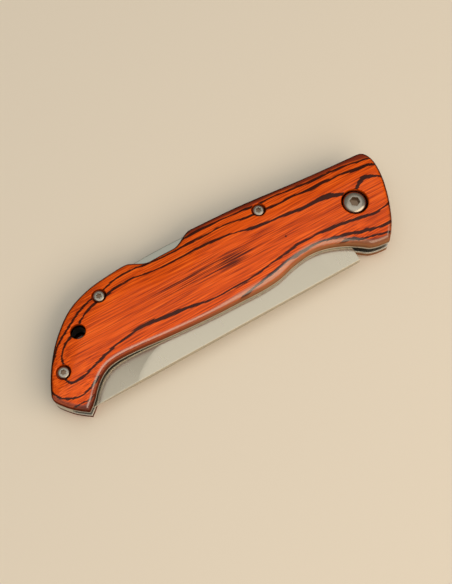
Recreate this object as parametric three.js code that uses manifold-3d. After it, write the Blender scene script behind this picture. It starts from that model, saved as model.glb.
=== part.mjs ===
// Folding pocket knife with a back lock, closed and lying on its side.
// Lengths are in millimetres and angles in degrees.
// Shapes are drawn in the plane of the handle: the blade's pivot is at (0, 0), X runs towards the
// front end and Y towards the back. They are stacked in Z, from the hidden side at 0 to the show side.
import * as THREE from "three";
import { mergeVertices } from "three/addons/utils/BufferGeometryUtils.js";
import Module from "manifold-3d";

const wasm = await Module();
wasm.setup();

// Clearances
const RUN = 0.3; // round pieces in their holes, and moving edges beside fixed ones
const SIDE_PLAY = 0.1; // lock bar beside each liner
const THROUGH = 1; // how far a cutter passes the face that it leaves by

// Handle, in plan
const FRONT_REACH = 13.2; // pivot to front end
const BLADE_REACH = 102.5; // pivot to blade tip
const TIP_ROOM = 8.55; // blade tip to butt
const HANDLE_REACH = BLADE_REACH + TIP_ROOM; // pivot to butt
const BACK_CREST = 18.5; // pivot line to the top of the back
const BELLY_DEPTH = 10.15; // pivot line to the middle of the belly
const NOSE_DEPTH = 15.9; // pivot line to the lower corner of the nose
const CORNER_DEPTH = 17.55; // pivot line to the lower corner of the butt
const ROUND_DEPTH = 8.3; // pivot line to the rearmost point of the butt

// Thumb notch in the back, where the lock bar is bare
const THUMB_PAST_TAIL = 1.6; // how far it runs on behind the lock bar's tail
const THUMB_LENGTH = 24.1;
const THUMB_DEPTH = 3.2;
const THUMB_RAMP = 8;

// Stack
const SCALE_THICKNESS = 4;
const LINER_THICKNESS = 1;
const BLADE_THICKNESS = 2.6;
const WASHER_THICKNESS = 0.2;
const SLOT_WIDTH = BLADE_THICKNESS + 2 * WASHER_THICKNESS;
const REAR_LINER_Z = SCALE_THICKNESS;
const SLOT_Z = REAR_LINER_Z + LINER_THICKNESS;
const FRONT_LINER_Z = SLOT_Z + SLOT_WIDTH;
const FRONT_SCALE_Z = FRONT_LINER_Z + LINER_THICKNESS;
const MIDDLE_Z = SLOT_Z + SLOT_WIDTH / 2;

// Scale faces
const CROWN_WIDTH = 9; // how far in from the edge the face still falls away
const CROWN_DROP = 1.3; // how much lower the face is at the edge than in the middle
const EDGE_RADIUS = 1.4;

// Pivot: a button-head screw in a headed barrel
const PIVOT_HEAD_RADIUS = 3.8;
const PIVOT_HEAD_HEIGHT = 2.2;
const PIVOT_SCREW_RADIUS = 2;
const PIVOT_SOCKET_FLATS = 3; // across the flats of the hexagon
const PIVOT_SOCKET_DEPTH = 1.3;
const BARREL_RADIUS = 3;
const PIVOT_RECESS_RADIUS = 4.6;
const PIVOT_SEAT = 1.6; // wood under the head
const WASHER_RADIUS = 6;

// Body screws, in threaded sleeves between the liners
const SCREW_HEAD_RADIUS = 1.9;
const SCREW_HEAD_HEIGHT = 1.3;
const SCREW_RADIUS = 1;
const SCREW_LENGTH = 4.2;
const SCREW_SOCKET_RADIUS = 0.85;
const SCREW_SOCKET_DEPTH = 0.6;
const SCREW_RECESS_RADIUS = 2.55;
const SCREW_SEAT = 2;
const SLEEVE_RADIUS = 2;

// Places of the sleeves and the lanyard hole
const ROCKER_BACK = 27.7; // pivot to the pin that the lock bar rocks on
const ROCKER_DROP = 5.7; // below the crest of the back
const MID_SCREW_FROM_BUTT = 26.6;
const MID_SCREW_DROP = 6.1;
const BUTT_SCREW_FROM_BUTT = 6.5;
const BUTT_SCREW_DROP = 22.2;
const LANYARD_RADIUS = 2.45;
const LANYARD_FROM_BUTT = 15.9;
const LANYARD_DROP = 13.1;

// Blade
const SPINE_DEPTH = 16.1; // pivot line to the spine
const BLADE_HEIGHT = 21.7;
const SHOULDER = 7.6; // pivot to the step that stops the lock bar
const PLUNGE = 16.5; // pivot to the end of the grind
const SHARP_EDGE = 0.12; // thickness left at the edge
const BEVEL_WIDTH = 0.8; // sharpened bevel, up from the edge
const BEVEL_THICKNESS = 0.55;
const GRIND_WIDTH = 11.8; // main grind, up from the edge
const FLAT_TAPER = 0.1; // how much thinner the flat is at the main grind than at the spine
const PLUNGE_OVERLAP = 2; // how far the grind runs on inside the full plate of the tang
const CHOIL_RADIUS = 1.5;
const CHOIL_OFFSET = 0.6; // its centre, outside the corner of the plunge and the edge
const KICK_FROM = 11; // pivot to the front of the kick that the closed blade rests on
const KICK_LENGTH = 3.5;
const KICK_RAMP = 3.5;
const KICK_CHAMFER = 0.6;
const NICK_LENGTH = 13;
const NICK_DEPTH = 0.6;
const NICK_WIDTH = 1.8;
const NICK_FROM_TIP = 42; // blade tip to the middle of the nail nick
const NICK_FROM_SPINE = 2.6;

// Lock
const CROWN_RADIUS = 9.6; // round of the tang that the hook rides over
const HOOK_LENGTH = 4.8;
const HOOK_HEIGHT = 1.45;
const LOCK_ANGLE = 2.1; // how far the bar drops into the tang's notch
const NECK_LENGTH = 8.5; // thin part of the bar behind the hook
const NECK_RAMP = 3;
const TAIL_FROM_BUTT = 39.25; // butt to the tail's end
const TAIL_GAP = 0.5; // tail's end to the back spacer
const TAIL_FLAT = 17; // length of the tail that is thin enough for the spring
const TAIL_RAMP = 7;
const TAIL_RAMP_DROP = 1.5;
const BAR_BOSS = 3.6; // metal below the rocker's centre
const BAR_BOSS_REACH = 8; // metal behind the rocker's centre
const TAIL_HEIGHT = 5.4;
const SPRING_THICKNESS = 0.9;
const SPRING_SEAT = 8; // length held in the back spacer
const SPRING_REACH = 16; // free length under the tail
const SPRING_DROP = 1.35; // lower at its root than at its tip
const SPRING_GAP = 0.55; // room to press the bar

const place = (x, y) => new THREE.Vector2(x, y);

// Joining and cutting

// A closed geometry as a solid. Triangles that have shrunk to a line are left out.
function solidOf(geometry) {
  const bare = geometry.clone();
  bare.deleteAttribute("normal");
  bare.deleteAttribute("uv");
  const merged = mergeVertices(bare, 1e-4);
  const corners = merged.index.array;
  const kept = [];
  for (let i = 0; i < corners.length; i += 3) {
    const [a, b, c] = corners.slice(i, i + 3);
    if (a !== b && b !== c && c !== a) kept.push(a, b, c);
  }
  return new wasm.Manifold(
    new wasm.Mesh({
      numProp: 3,
      vertProperties: merged.attributes.position.array,
      triVerts: new Uint32Array(kept),
    }),
  );
}

function geometryOf(solid) {
  const mesh = solid.getMesh();
  const geometry = new THREE.BufferGeometry();
  geometry.setAttribute("position", new THREE.BufferAttribute(mesh.vertProperties, 3));
  geometry.setIndex(new THREE.BufferAttribute(mesh.triVerts, 1));
  const flat = geometry.toNonIndexed();
  flat.computeVertexNormals();
  return flat;
}

const cutAll = (solid, cutters) => cutters.reduce((rest, cutter) => rest.subtract(cutter), solid);

// Plain forms

// A plate with the given outline, between two heights.
function plate(outline, low, high) {
  const geometry = new THREE.ExtrudeGeometry(new THREE.Shape(outline), {
    depth: high - low,
    bevelEnabled: false,
  });
  return solidOf(geometry.translate(0, 0, low));
}

// An upright disc or rod.
function disc({ x, y }, radius, low, high, sides = 20) {
  const geometry = new THREE.CylinderGeometry(radius, radius, high - low, sides);
  geometry.rotateX(Math.PI / 2).translate(x, y, (low + high) / 2);
  return solidOf(geometry);
}

// A turned piece about Z, from [radius, height] pairs that start and end on the axis, bottom first.
function turned(profile, sides) {
  const points = profile.map(([radius, height]) => place(radius, height));
  return solidOf(new THREE.LatheGeometry(points, sides).rotateX(Math.PI / 2));
}

function smoothStep(value) {
  const t = Math.min(1, Math.max(0, value));
  return t * t * (3 - 2 * t);
}

// A smooth curve through points that are chosen by hand.
function fairCurve(points) {
  const through = points.map(([x, y]) => new THREE.Vector3(x, y, 0));
  const curve = new THREE.CatmullRomCurve3(through, false, "centripetal");
  curve.arcLengthDivisions = 600;
  return curve;
}

const along = (curve, share) => {
  const { x, y } = curve.getPointAt(share);
  return place(x, y);
};

const sampled = (curve, steps) =>
  Array.from({ length: steps + 1 }, (_, i) => along(curve, i / steps));

// Handle outline: four curves that meet at the corners. A point is placed from the butt or from the
// front end, or by its share of the way from the pivot to the butt. Its height is measured down from
// the crest of the back or up from the belly, or is its share of the way between two corners.
const butt = (fromButt) => fromButt - HANDLE_REACH;
const middle = (share) => -share * HANDLE_REACH;
const crest = (drop) => BACK_CREST - drop;
const waist = (rise) => rise - BELLY_DEPTH;
const between = (low, high) => (share) => low + (high - low) * share;

const frontTop = [FRONT_REACH - 3, crest(4)];
const nose = [FRONT_REACH - 10, -NOSE_DEPTH];
const buttCorner = [butt(7.85), -CORNER_DEPTH];
const buttRound = [butt(0), -ROUND_DEPTH];
const shoulderRise = between(-ROUND_DEPTH, BACK_CREST);
const noseRise = between(-NOSE_DEPTH, frontTop[1]);
const buttRise = between(-CORNER_DEPTH, -ROUND_DEPTH);

const backCurve = fairCurve([
  buttRound,
  [butt(0.65), shoulderRise(0.067)],
  [butt(2.65), shoulderRise(0.224)],
  [butt(6.05), shoulderRise(0.425)],
  [butt(10.25), shoulderRise(0.61)],
  [butt(16.9), shoulderRise(0.813)],
  [butt(24.85), shoulderRise(0.925)],
  [butt(32.85), shoulderRise(0.968)],
  [middle(0.63), crest(0.3)],
  [middle(0.55), crest(0)],
  [middle(0.382), crest(0.35)],
  [middle(0.285), crest(0.8)],
  [middle(0.19), crest(1.7)],
  [middle(0.096), crest(2.65)],
  [0, crest(3.4)],
  frontTop,
]);
const frontCurve = fairCurve([
  nose,
  [FRONT_REACH - 7.6, noseRise(0.097)],
  [FRONT_REACH - 5.3, noseRise(0.225)],
  [FRONT_REACH - 3.3, noseRise(0.368)],
  [FRONT_REACH - 1.6, noseRise(0.516)],
  [FRONT_REACH - 0.5, noseRise(0.655)],
  [FRONT_REACH, noseRise(0.803)],
  [FRONT_REACH - 0.1, noseRise(0.878)],
  [FRONT_REACH - 0.9, noseRise(0.951)],
  [FRONT_REACH - 1.8, noseRise(0.984)],
  frontTop,
]);
const bellyCurve = fairCurve([
  buttCorner,
  [butt(10.45), 2.25 - CORNER_DEPTH],
  [butt(13.55), waist(-1.65)],
  [butt(16.45), waist(0.75)],
  [butt(19.15), waist(2)],
  [butt(22.85), waist(2.55)],
  [butt(29), waist(2.35)],
  [middle(0.645), waist(1.4)],
  [middle(0.522), waist(0.45)],
  [middle(0.43), waist(0.15)],
  [middle(0.347), waist(0)],
  [middle(0.297), waist(0.55)],
  [-27, waist(2.05)],
  [-20.75, waist(2.8)],
  [-15.6, waist(2.1)],
  [-9.65, waist(-0.2)],
  [-5.65, 3.05 - NOSE_DEPTH],
  [-3.1, 1.15 - NOSE_DEPTH],
  [-0.3, 0.35 - NOSE_DEPTH],
  nose,
]);
const buttCurve = fairCurve([
  buttCorner,
  [butt(5.35), buttRise(0.2)],
  [butt(3.05), buttRise(0.427)],
  [butt(1.05), buttRise(0.697)],
  [butt(0.1), buttRise(0.859)],
  buttRound,
]);

// The thumb notch, as a dip with smooth ramps at the lock bar's tail.
const barTail = butt(TAIL_FROM_BUTT);
const thumbRear = barTail - THUMB_PAST_TAIL;
function thumbDip(x) {
  const inside = x - thumbRear;
  return THUMB_DEPTH * smoothStep(inside / THUMB_RAMP) * smoothStep((THUMB_LENGTH - inside) / THUMB_RAMP);
}

// Rows and columns lie close together near an edge, where the face turns over.
function shares(closeUps, steps) {
  const last = closeUps[closeUps.length - 1];
  const even = [];
  for (let i = 1; i < steps; i++) even.push(last + ((1 - 2 * last) * i) / steps);
  return [0, ...closeUps, ...even, ...closeUps.map((share) => 1 - share).reverse(), 1];
}

// Twice as many columns or rows between two shares, where the outline turns quickly.
const closer = (list, from, to) =>
  list.flatMap((share, i) =>
    share > from && share < to ? [share, (share + list[i + 1]) / 2] : [share],
  );

// A grid of points over the space between four curves that meet at the corners.
function patch({ south, north, west, east }, columns, rows) {
  const [southWest, southEast, northWest, northEast] = [south(0), south(1), north(0), north(1)];
  return rows.map((v) =>
    columns.map((u) => {
      const point = place(0, 0);
      point.addScaledVector(south(u), 1 - v).addScaledVector(north(u), v);
      point.addScaledVector(west(v), 1 - u).addScaledVector(east(v), u);
      point.addScaledVector(southWest, -(1 - u) * (1 - v)).addScaledVector(southEast, -u * (1 - v));
      point.addScaledVector(northWest, -(1 - u) * v).addScaledVector(northEast, -u * v);
      return point;
    }),
  );
}

// The grid's border, anticlockwise.
function borderOf(grid) {
  const last = grid[0].length - 1;
  const right = grid.slice(1, -1).map((row) => row[last]);
  const left = grid.slice(1, -1).map((row) => row[0]);
  return [...grid[0], ...right, ...grid[grid.length - 1].slice().reverse(), ...left.reverse()];
}

function distanceToPath(point, path, closed) {
  let nearest = Infinity;
  const pieces = closed ? path.length : path.length - 1;
  for (let i = 0; i < pieces; i++) {
    const start = path[i];
    const edge = path[(i + 1) % path.length].clone().sub(start);
    const offset = point.clone().sub(start);
    const share = Math.min(1, Math.max(0, offset.dot(edge) / Math.max(edge.lengthSq(), 1e-12)));
    nearest = Math.min(nearest, offset.addScaledVector(edge, -share).length());
  }
  return nearest;
}

// A solid with a flat base and a modelled face over a grid. side is 1 with the face up, -1 down.
function facedSolid(grid, base, heightAt, side) {
  const border = borderOf(grid);
  const corners = [];
  const level = (point) => [point.x, point.y, base];
  const raised = (point) => [point.x, point.y, base + side * heightAt(point)];
  const add = (a, b, c) => corners.push(...(side > 0 ? [...a, ...b, ...c] : [...a, ...c, ...b]));
  for (let j = 0; j + 1 < grid.length; j++) {
    for (let i = 0; i + 1 < grid[j].length; i++) {
      const [a, b] = [raised(grid[j][i]), raised(grid[j][i + 1])];
      const [c, d] = [raised(grid[j + 1][i + 1]), raised(grid[j + 1][i])];
      add(a, b, c);
      add(a, c, d);
    }
  }
  border.forEach((point, i) => {
    const next = border[(i + 1) % border.length];
    add(level(point), level(next), raised(next));
    add(level(point), raised(next), raised(point));
  });
  for (const [a, b, c] of THREE.ShapeUtils.triangulateShape(border, [])) {
    add(level(border[a]), level(border[c]), level(border[b]));
  }
  const geometry = new THREE.BufferGeometry();
  geometry.setAttribute("position", new THREE.Float32BufferAttribute(corners, 3));
  return solidOf(geometry);
}

// Handle plan

const dipped = (point) => place(point.x, point.y - thumbDip(point.x));

// Where along the back the notch starts and ends, from the butt.
const backLine = sampled(backCurve, 240);
const afterX = (x) => backLine.findIndex((point) => point.x > x && point.y > 0);
const notchShares = [thumbRear, thumbRear + THUMB_LENGTH].map(
  (x) => afterX(x) / (backLine.length - 1),
);
const handleGrid = patch(
  {
    south: (u) => along(bellyCurve, u),
    north: (u) => dipped(along(backCurve, u)),
    west: (v) => along(buttCurve, v),
    east: (v) => along(frontCurve, v),
  },
  closer(shares([0.0015, 0.0045, 0.01, 0.02, 0.04], 46), ...notchShares),
  shares([0.007, 0.02, 0.042, 0.08, 0.17], 4),
);
const handleOutline = borderOf(handleGrid);

// The outline without the front end, which is cut square across and has no crown.
const crownEdge = [
  ...handleOutline.slice(handleGrid[0].length + handleGrid.length - 2),
  ...handleGrid[0],
];

// Height of the back at a place along the handle, without the thumb notch.
function backHeight(x) {
  const after = afterX(x);
  const [low, high] = [backLine[after - 1], backLine[after]];
  return low.y + ((high.y - low.y) * (x - low.x)) / (high.x - low.x);
}

const pivot = place(0, 0);
const rocker = place(-ROCKER_BACK, crest(ROCKER_DROP));
const midScrew = place(butt(MID_SCREW_FROM_BUTT), crest(MID_SCREW_DROP));
const buttScrew = place(butt(BUTT_SCREW_FROM_BUTT), crest(BUTT_SCREW_DROP));
const lanyard = place(butt(LANYARD_FROM_BUTT), crest(LANYARD_DROP));
const bodyScrews = { rocker, mid: midScrew, butt: buttScrew };
const screwPlaces = Object.values(bodyScrews);

// Handle shells

// Height of a scale's face over its base: flat in the middle, falling away to the back, the belly
// and the butt, and rounded at every edge.
function scaleHeight(point) {
  const inCrown = Math.min(distanceToPath(point, crownEdge, false), CROWN_WIDTH);
  const fall = CROWN_DROP * (1 - inCrown / CROWN_WIDTH) ** 2;
  const short = Math.max(0, EDGE_RADIUS - distanceToPath(point, handleOutline, true));
  const turn = EDGE_RADIUS - Math.sqrt(EDGE_RADIUS ** 2 - short ** 2);
  return SCALE_THICKNESS - fall - turn;
}

// side is 1 for the scale on the show side and -1 for the one on the hidden side.
function makeScale(side, pivotHoleRadius) {
  const base = side > 0 ? FRONT_SCALE_Z : REAR_LINER_Z;
  const drill = (at, radius, from, sides) => {
    const ends = [base + side * from, base + side * (SCALE_THICKNESS + THROUGH)];
    return disc(at, radius, Math.min(...ends), Math.max(...ends), sides);
  };
  return cutAll(facedSolid(handleGrid, base, scaleHeight, side), [
    drill(pivot, PIVOT_RECESS_RADIUS, PIVOT_SEAT, 32),
    drill(pivot, pivotHoleRadius, -THROUGH),
    drill(lanyard, LANYARD_RADIUS, -THROUGH),
    ...screwPlaces.map((at) => drill(at, SCREW_RECESS_RADIUS, SCREW_SEAT)),
    ...screwPlaces.map((at) => drill(at, SCREW_RADIUS + RUN, -THROUGH, 12)),
  ]);
}

function makeLiner(low) {
  const high = low + LINER_THICKNESS;
  const drill = (at, radius) => disc(at, radius, low - THROUGH, high + THROUGH);
  return cutAll(plate(handleOutline, low, high), [
    drill(pivot, BARREL_RADIUS + RUN),
    drill(lanyard, LANYARD_RADIUS),
    ...screwPlaces.map((at) => drill(at, SLEEVE_RADIUS + RUN)),
  ]);
}

// Lock geometry, worked out from the tang's round and the bar's rocker

const spacerFront = barTail - TAIL_GAP;
const barFront = SHOULDER - RUN;
const hookBack = barFront - HOOK_LENGTH;
const hookBottom = Math.sqrt((CROWN_RADIUS + RUN) ** 2 - hookBack ** 2);
const lockDrop = (barFront + ROCKER_BACK) * Math.sin(THREE.MathUtils.degToRad(LOCK_ANGLE));
const notchFloor = hookBottom - lockDrop - RUN;
const barBelly = rocker.y - BAR_BOSS;
const kickTo = -KICK_FROM - KICK_LENGTH;
const kickTop = barBelly - RUN - lockDrop / 2;

// Blade

const edgeHeight = BLADE_HEIGHT - SPINE_DEPTH;
const tip = (fromTip) => fromTip - BLADE_REACH;
const edgeCurve = fairCurve([
  [tip(0), 0.3 - SPINE_DEPTH],
  [tip(4.5), edgeHeight - 16.2],
  [tip(10.5), edgeHeight - 10.2],
  [tip(17.5), edgeHeight - 5.7],
  [tip(26), edgeHeight - 2.6],
  [tip(35), edgeHeight - 1],
  [tip(46), edgeHeight - 0.25],
  [tip(60), edgeHeight],
  [PLUNGE_OVERLAP - PLUNGE, edgeHeight],
]);
const edgeLine = sampled(edgeCurve, 60);

// Half the blade's thickness: a sharpened bevel, the main grind, and a flat that tapers a little
// from the spine down to it.
function halfThickness(point) {
  const up = distanceToPath(point, edgeLine, false);
  const bevel = THREE.MathUtils.mapLinear(up, 0, BEVEL_WIDTH, SHARP_EDGE, BEVEL_THICKNESS);
  const flatFoot = BLADE_THICKNESS - FLAT_TAPER;
  const grind = THREE.MathUtils.mapLinear(up, BEVEL_WIDTH, GRIND_WIDTH, BEVEL_THICKNESS, flatFoot);
  const flatWidth = BLADE_HEIGHT - GRIND_WIDTH;
  const flat = BLADE_THICKNESS - (FLAT_TAPER * (point.y + SPINE_DEPTH)) / flatWidth;
  return Math.min(bevel, Math.max(grind, BEVEL_THICKNESS), flat) / 2;
}

// Each column of the grid runs square to the edge, up over the grind and on to the spine, and one of
// its rows lies on the grind's upper line until that line runs out at the spine.
function makeGroundBlade() {
  const columns = 34;
  const grid = [];
  for (let i = 0; i <= columns; i++) {
    const share = (i / columns) ** 1.25;
    const foot = along(edgeCurve, share);
    const heading = edgeCurve.getTangentAt(share);
    const inward = place(heading.y, -heading.x);
    const toSpine = (foot.y + SPINE_DEPTH) / -inward.y;
    const toFlat = Math.min(GRIND_WIDTH, toSpine);
    const steps = [0, Math.min(BEVEL_WIDTH, toFlat), toFlat / 3, (2 * toFlat) / 3, toFlat];
    const above = [(toFlat + toSpine) / 2, toSpine];
    const line = [...steps, ...above].sort((a, b) => b - a);
    grid.push(line.map((reach) => foot.clone().addScaledVector(inward, reach)));
  }
  const rows = grid[0].map((_, row) => grid.map((line) => line[row]));
  return [1, -1].map((side) => facedSolid(rows, MIDDLE_Z, halfThickness, side));
}

// The tang in plan: crown, lock notch, shoulder, spine, plunge line, kick and closed flat.
function tangOutline() {
  const outline = [];
  const crownFrom = Math.asin(notchFloor / CROWN_RADIUS);
  const crownTo = -Math.PI / 2 - Math.asin((hookBack - RUN) / CROWN_RADIUS);
  const steps = 30;
  for (let i = 0; i <= steps; i++) {
    const angle = THREE.MathUtils.lerp(crownFrom, crownTo, i / steps);
    outline.push(place(CROWN_RADIUS * Math.cos(angle), CROWN_RADIUS * Math.sin(angle)));
  }
  outline.push(
    place(RUN - hookBack, -notchFloor),
    place(-SHOULDER, -notchFloor),
    place(-SHOULDER, -SPINE_DEPTH),
    place(-PLUNGE, -SPINE_DEPTH),
    place(-PLUNGE, edgeHeight + CHOIL_OFFSET),
    place(kickTo, kickTop - KICK_CHAMFER),
    place(kickTo + KICK_CHAMFER, kickTop),
    place(-KICK_FROM, kickTop),
    place(KICK_RAMP - KICK_FROM, notchFloor),
  );
  return outline;
}

function makeBlade() {
  const low = MIDDLE_Z - BLADE_THICKNESS / 2;
  const high = MIDDLE_Z + BLADE_THICKNESS / 2;
  const tang = plate(tangOutline(), low, high);
  const whole = makeGroundBlade().reduce((rest, half) => rest.add(half), tang);
  const choil = place(-PLUNGE - CHOIL_OFFSET, edgeHeight + CHOIL_OFFSET);
  // The nail nick is milled into the hidden face by the rim of a wheel.
  const wheelRadius = (NICK_LENGTH ** 2 / 4 + NICK_DEPTH ** 2) / (2 * NICK_DEPTH);
  const wheel = new THREE.CylinderGeometry(wheelRadius, wheelRadius, NICK_WIDTH, 96);
  wheel.translate(tip(NICK_FROM_TIP), NICK_FROM_SPINE - SPINE_DEPTH, low + NICK_DEPTH - wheelRadius);
  return cutAll(whole, [
    disc(pivot, BARREL_RADIUS + RUN, low - THROUGH, high + THROUGH, 32),
    disc(choil, CHOIL_RADIUS, low - THROUGH, high + THROUGH),
    solidOf(wheel),
  ]);
}

// Lock bar: flush with the back, with a hook at the front and a thin tail over the spring.
function makeLockBar() {
  const top = [];
  const steps = 36;
  for (let i = 0; i <= steps; i++) {
    const x = THREE.MathUtils.lerp(barFront, barTail, i / steps);
    top.push(place(x, backHeight(x)));
  }
  const tailBottom = crest(TAIL_HEIGHT);
  const outline = [
    ...top,
    place(barTail, tailBottom),
    place(barTail + TAIL_FLAT, tailBottom),
    place(barTail + TAIL_FLAT + TAIL_RAMP, tailBottom - TAIL_RAMP_DROP),
    place(rocker.x - BAR_BOSS_REACH, barBelly),
    place(hookBack - NECK_LENGTH - NECK_RAMP, barBelly),
    place(hookBack - NECK_LENGTH, hookBottom + HOOK_HEIGHT),
    place(hookBack, hookBottom + HOOK_HEIGHT),
    place(hookBack, hookBottom),
    place(barFront, hookBottom),
  ];
  const [low, high] = [SLOT_Z + SIDE_PLAY, FRONT_LINER_Z - SIDE_PLAY];
  return plate(outline, low, high).subtract(
    disc(rocker, SLEEVE_RADIUS + RUN, low - THROUGH, high + THROUGH),
  );
}

// Leaf spring: its root is held in the back spacer and its tip lies under the bar's tail.
const springTop = crest(TAIL_HEIGHT) - SPRING_GAP;
function springOutline(grow) {
  const steps = 14;
  const start = spacerFront - SPRING_SEAT;
  const upper = [];
  const lower = [];
  for (let i = 0; i <= steps; i++) {
    const x = THREE.MathUtils.lerp(start - grow, spacerFront + SPRING_REACH, i / steps);
    const lift = SPRING_DROP * (1 - smoothStep((x - spacerFront) / SPRING_REACH));
    upper.push(place(x, springTop - lift + grow));
    lower.push(place(x, springTop - lift - SPRING_THICKNESS - grow));
  }
  return [...lower, ...upper.reverse()];
}

// Back spacer: the part of the handle's plan behind the lock bar, down to the slot at the butt. Its
// inner side is drawn by shares of the way to the butt and of the height of the butt.
function makeBackSpacer() {
  const back = between(spacerFront, butt(0));
  const up = between(-CORNER_DEPTH, BACK_CREST);
  const inner = fairCurve([
    [spacerFront, up(0.72)],
    [back(0.071), up(0.684)],
    [back(0.2), up(0.606)],
    [back(0.355), up(0.506)],
    [back(0.51), up(0.39)],
    [back(0.665), up(0.251)],
    [back(0.82), up(0.162)],
    [back(0.92), up(0.0915)],
  ]);
  const outside = [
    place(butt(-THROUGH), up(0.043)),
    place(butt(-THROUGH), BACK_CREST + THROUGH),
    place(spacerFront, BACK_CREST + THROUGH),
  ];
  const region = plate(
    [...sampled(inner, 24), ...outside],
    SLOT_Z - THROUGH,
    FRONT_LINER_Z + THROUGH,
  );
  const drill = (at, radius) => disc(at, radius, SLOT_Z - THROUGH, FRONT_LINER_Z + THROUGH);
  return cutAll(plate(handleOutline, SLOT_Z, FRONT_LINER_Z).intersect(region), [
    plate(springOutline(RUN), SLOT_Z - THROUGH, FRONT_LINER_Z + THROUGH),
    drill(midScrew, SLEEVE_RADIUS + RUN),
    drill(buttScrew, SLEEVE_RADIUS + RUN),
    drill(lanyard, LANYARD_RADIUS),
  ]);
}

// Fasteners, drawn with the seat of the head at height 0 and the head up

function buttonHead(radius, height, shankRadius, shankLength, sides) {
  const rim = height * 0.16;
  const topRadius = radius * 0.56;
  const steps = 4;
  const profile = [
    [0, -shankLength],
    [shankRadius, -shankLength],
    [shankRadius, 0],
    [radius, 0],
  ];
  for (let i = 0; i <= steps; i++) {
    const angle = ((i / steps) * Math.PI) / 2;
    const reach = topRadius + (radius - topRadius) * Math.cos(angle);
    profile.push([reach, rim + (height - rim) * Math.sin(angle)]);
  }
  profile.push([0, height]);
  return turned(profile, sides);
}

function hexSocket(headHeight) {
  const radius = PIVOT_SOCKET_FLATS / Math.sqrt(3);
  return disc(pivot, radius, headHeight - PIVOT_SOCKET_DEPTH, headHeight + THROUGH, 6);
}

function lobedSocket(headHeight) {
  const lobes = 6;
  const outline = [];
  for (let i = 0; i < lobes * 2; i++) {
    const radius = i % 2 ? SCREW_SOCKET_RADIUS * 0.72 : SCREW_SOCKET_RADIUS;
    const angle = (i * Math.PI) / lobes;
    outline.push(place(radius * Math.cos(angle), radius * Math.sin(angle)));
  }
  return plate(outline, headHeight - SCREW_SOCKET_DEPTH, headHeight + THROUGH);
}

function makePivotScrew() {
  const length = PIVOT_SEAT + SLOT_WIDTH + 2 * LINER_THICKNESS - RUN;
  const body = buttonHead(PIVOT_HEAD_RADIUS, PIVOT_HEAD_HEIGHT, PIVOT_SCREW_RADIUS, length, 32);
  return body.subtract(hexSocket(PIVOT_HEAD_HEIGHT));
}

// The barrel runs through both liners and stops just short of the front scale.
function makePivotBarrel() {
  const length = PIVOT_SEAT + SLOT_WIDTH + 2 * LINER_THICKNESS - RUN;
  const bore = length - PIVOT_SEAT + RUN;
  const body = buttonHead(PIVOT_HEAD_RADIUS, PIVOT_HEAD_HEIGHT, BARREL_RADIUS, length, 32);
  return cutAll(body, [
    hexSocket(PIVOT_HEAD_HEIGHT),
    disc(pivot, PIVOT_SCREW_RADIUS + RUN, -length - THROUGH, bore - length),
  ]);
}

function makeBodyScrew() {
  const body = buttonHead(SCREW_HEAD_RADIUS, SCREW_HEAD_HEIGHT, SCREW_RADIUS, SCREW_LENGTH, 16);
  return body.subtract(lobedSocket(SCREW_HEAD_HEIGHT));
}

function makeSleeve() {
  const length = SLOT_WIDTH + 2 * LINER_THICKNESS;
  const bore = disc(pivot, SCREW_RADIUS + RUN, -THROUGH, length + THROUGH, 12);
  return disc(pivot, SLEEVE_RADIUS, 0, length, 16).subtract(bore);
}

function makeWasher() {
  const bore = disc(pivot, BARREL_RADIUS + RUN, -THROUGH, WASHER_THICKNESS + THROUGH);
  return disc(pivot, WASHER_RADIUS, 0, WASHER_THICKNESS, 28).subtract(bore);
}

// Materials

const finish = (color, roughness, metalness) =>
  new THREE.MeshStandardMaterial({ color, roughness, metalness });
const laminatedWood = finish(0xc8481a, 0.35, 0);
const satinSteel = finish(0xb4b6b2, 0.32, 1);
const groundSteel = finish(0xa3a5a0, 0.42, 1);
const polishedSteel = finish(0xc6c8c6, 0.2, 1);
const springSteel = finish(0x6f757c, 0.4, 1);
const bronze = finish(0xb08a4e, 0.4, 1);

// Assembly. The knife's origin is on the surface it lies on, below the middle of its outline.

const knife = new THREE.Group();
knife.name = "folding_knife";
const inPlan = new THREE.Group();
knife.add(inPlan);

function addPiece(name, solid, material, at = pivot, z = 0, turnedOver = false) {
  const mesh = new THREE.Mesh(geometryOf(solid), material);
  mesh.name = name;
  mesh.position.set(at.x, at.y, z);
  if (turnedOver) mesh.rotation.x = Math.PI;
  inPlan.add(mesh);
}

addPiece("front_scale", makeScale(1, PIVOT_SCREW_RADIUS + RUN), laminatedWood);
addPiece("rear_scale", makeScale(-1, BARREL_RADIUS + RUN), laminatedWood);
addPiece("front_liner", makeLiner(FRONT_LINER_Z), satinSteel);
addPiece("rear_liner", makeLiner(REAR_LINER_Z), satinSteel);
addPiece("back_spacer", makeBackSpacer(), groundSteel);
addPiece("blade", makeBlade(), satinSteel);
addPiece("lock_bar", makeLockBar(), groundSteel);
addPiece(
  "lock_spring",
  plate(springOutline(0), SLOT_Z + RUN, FRONT_LINER_Z - RUN),
  springSteel,
);
addPiece("rear_washer", makeWasher(), bronze, pivot, SLOT_Z);
addPiece("front_washer", makeWasher(), bronze, pivot, FRONT_LINER_Z - WASHER_THICKNESS);
addPiece("pivot_screw", makePivotScrew(), polishedSteel, pivot, FRONT_SCALE_Z + PIVOT_SEAT);
addPiece("pivot_barrel", makePivotBarrel(), polishedSteel, pivot, REAR_LINER_Z - PIVOT_SEAT, true);
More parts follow.
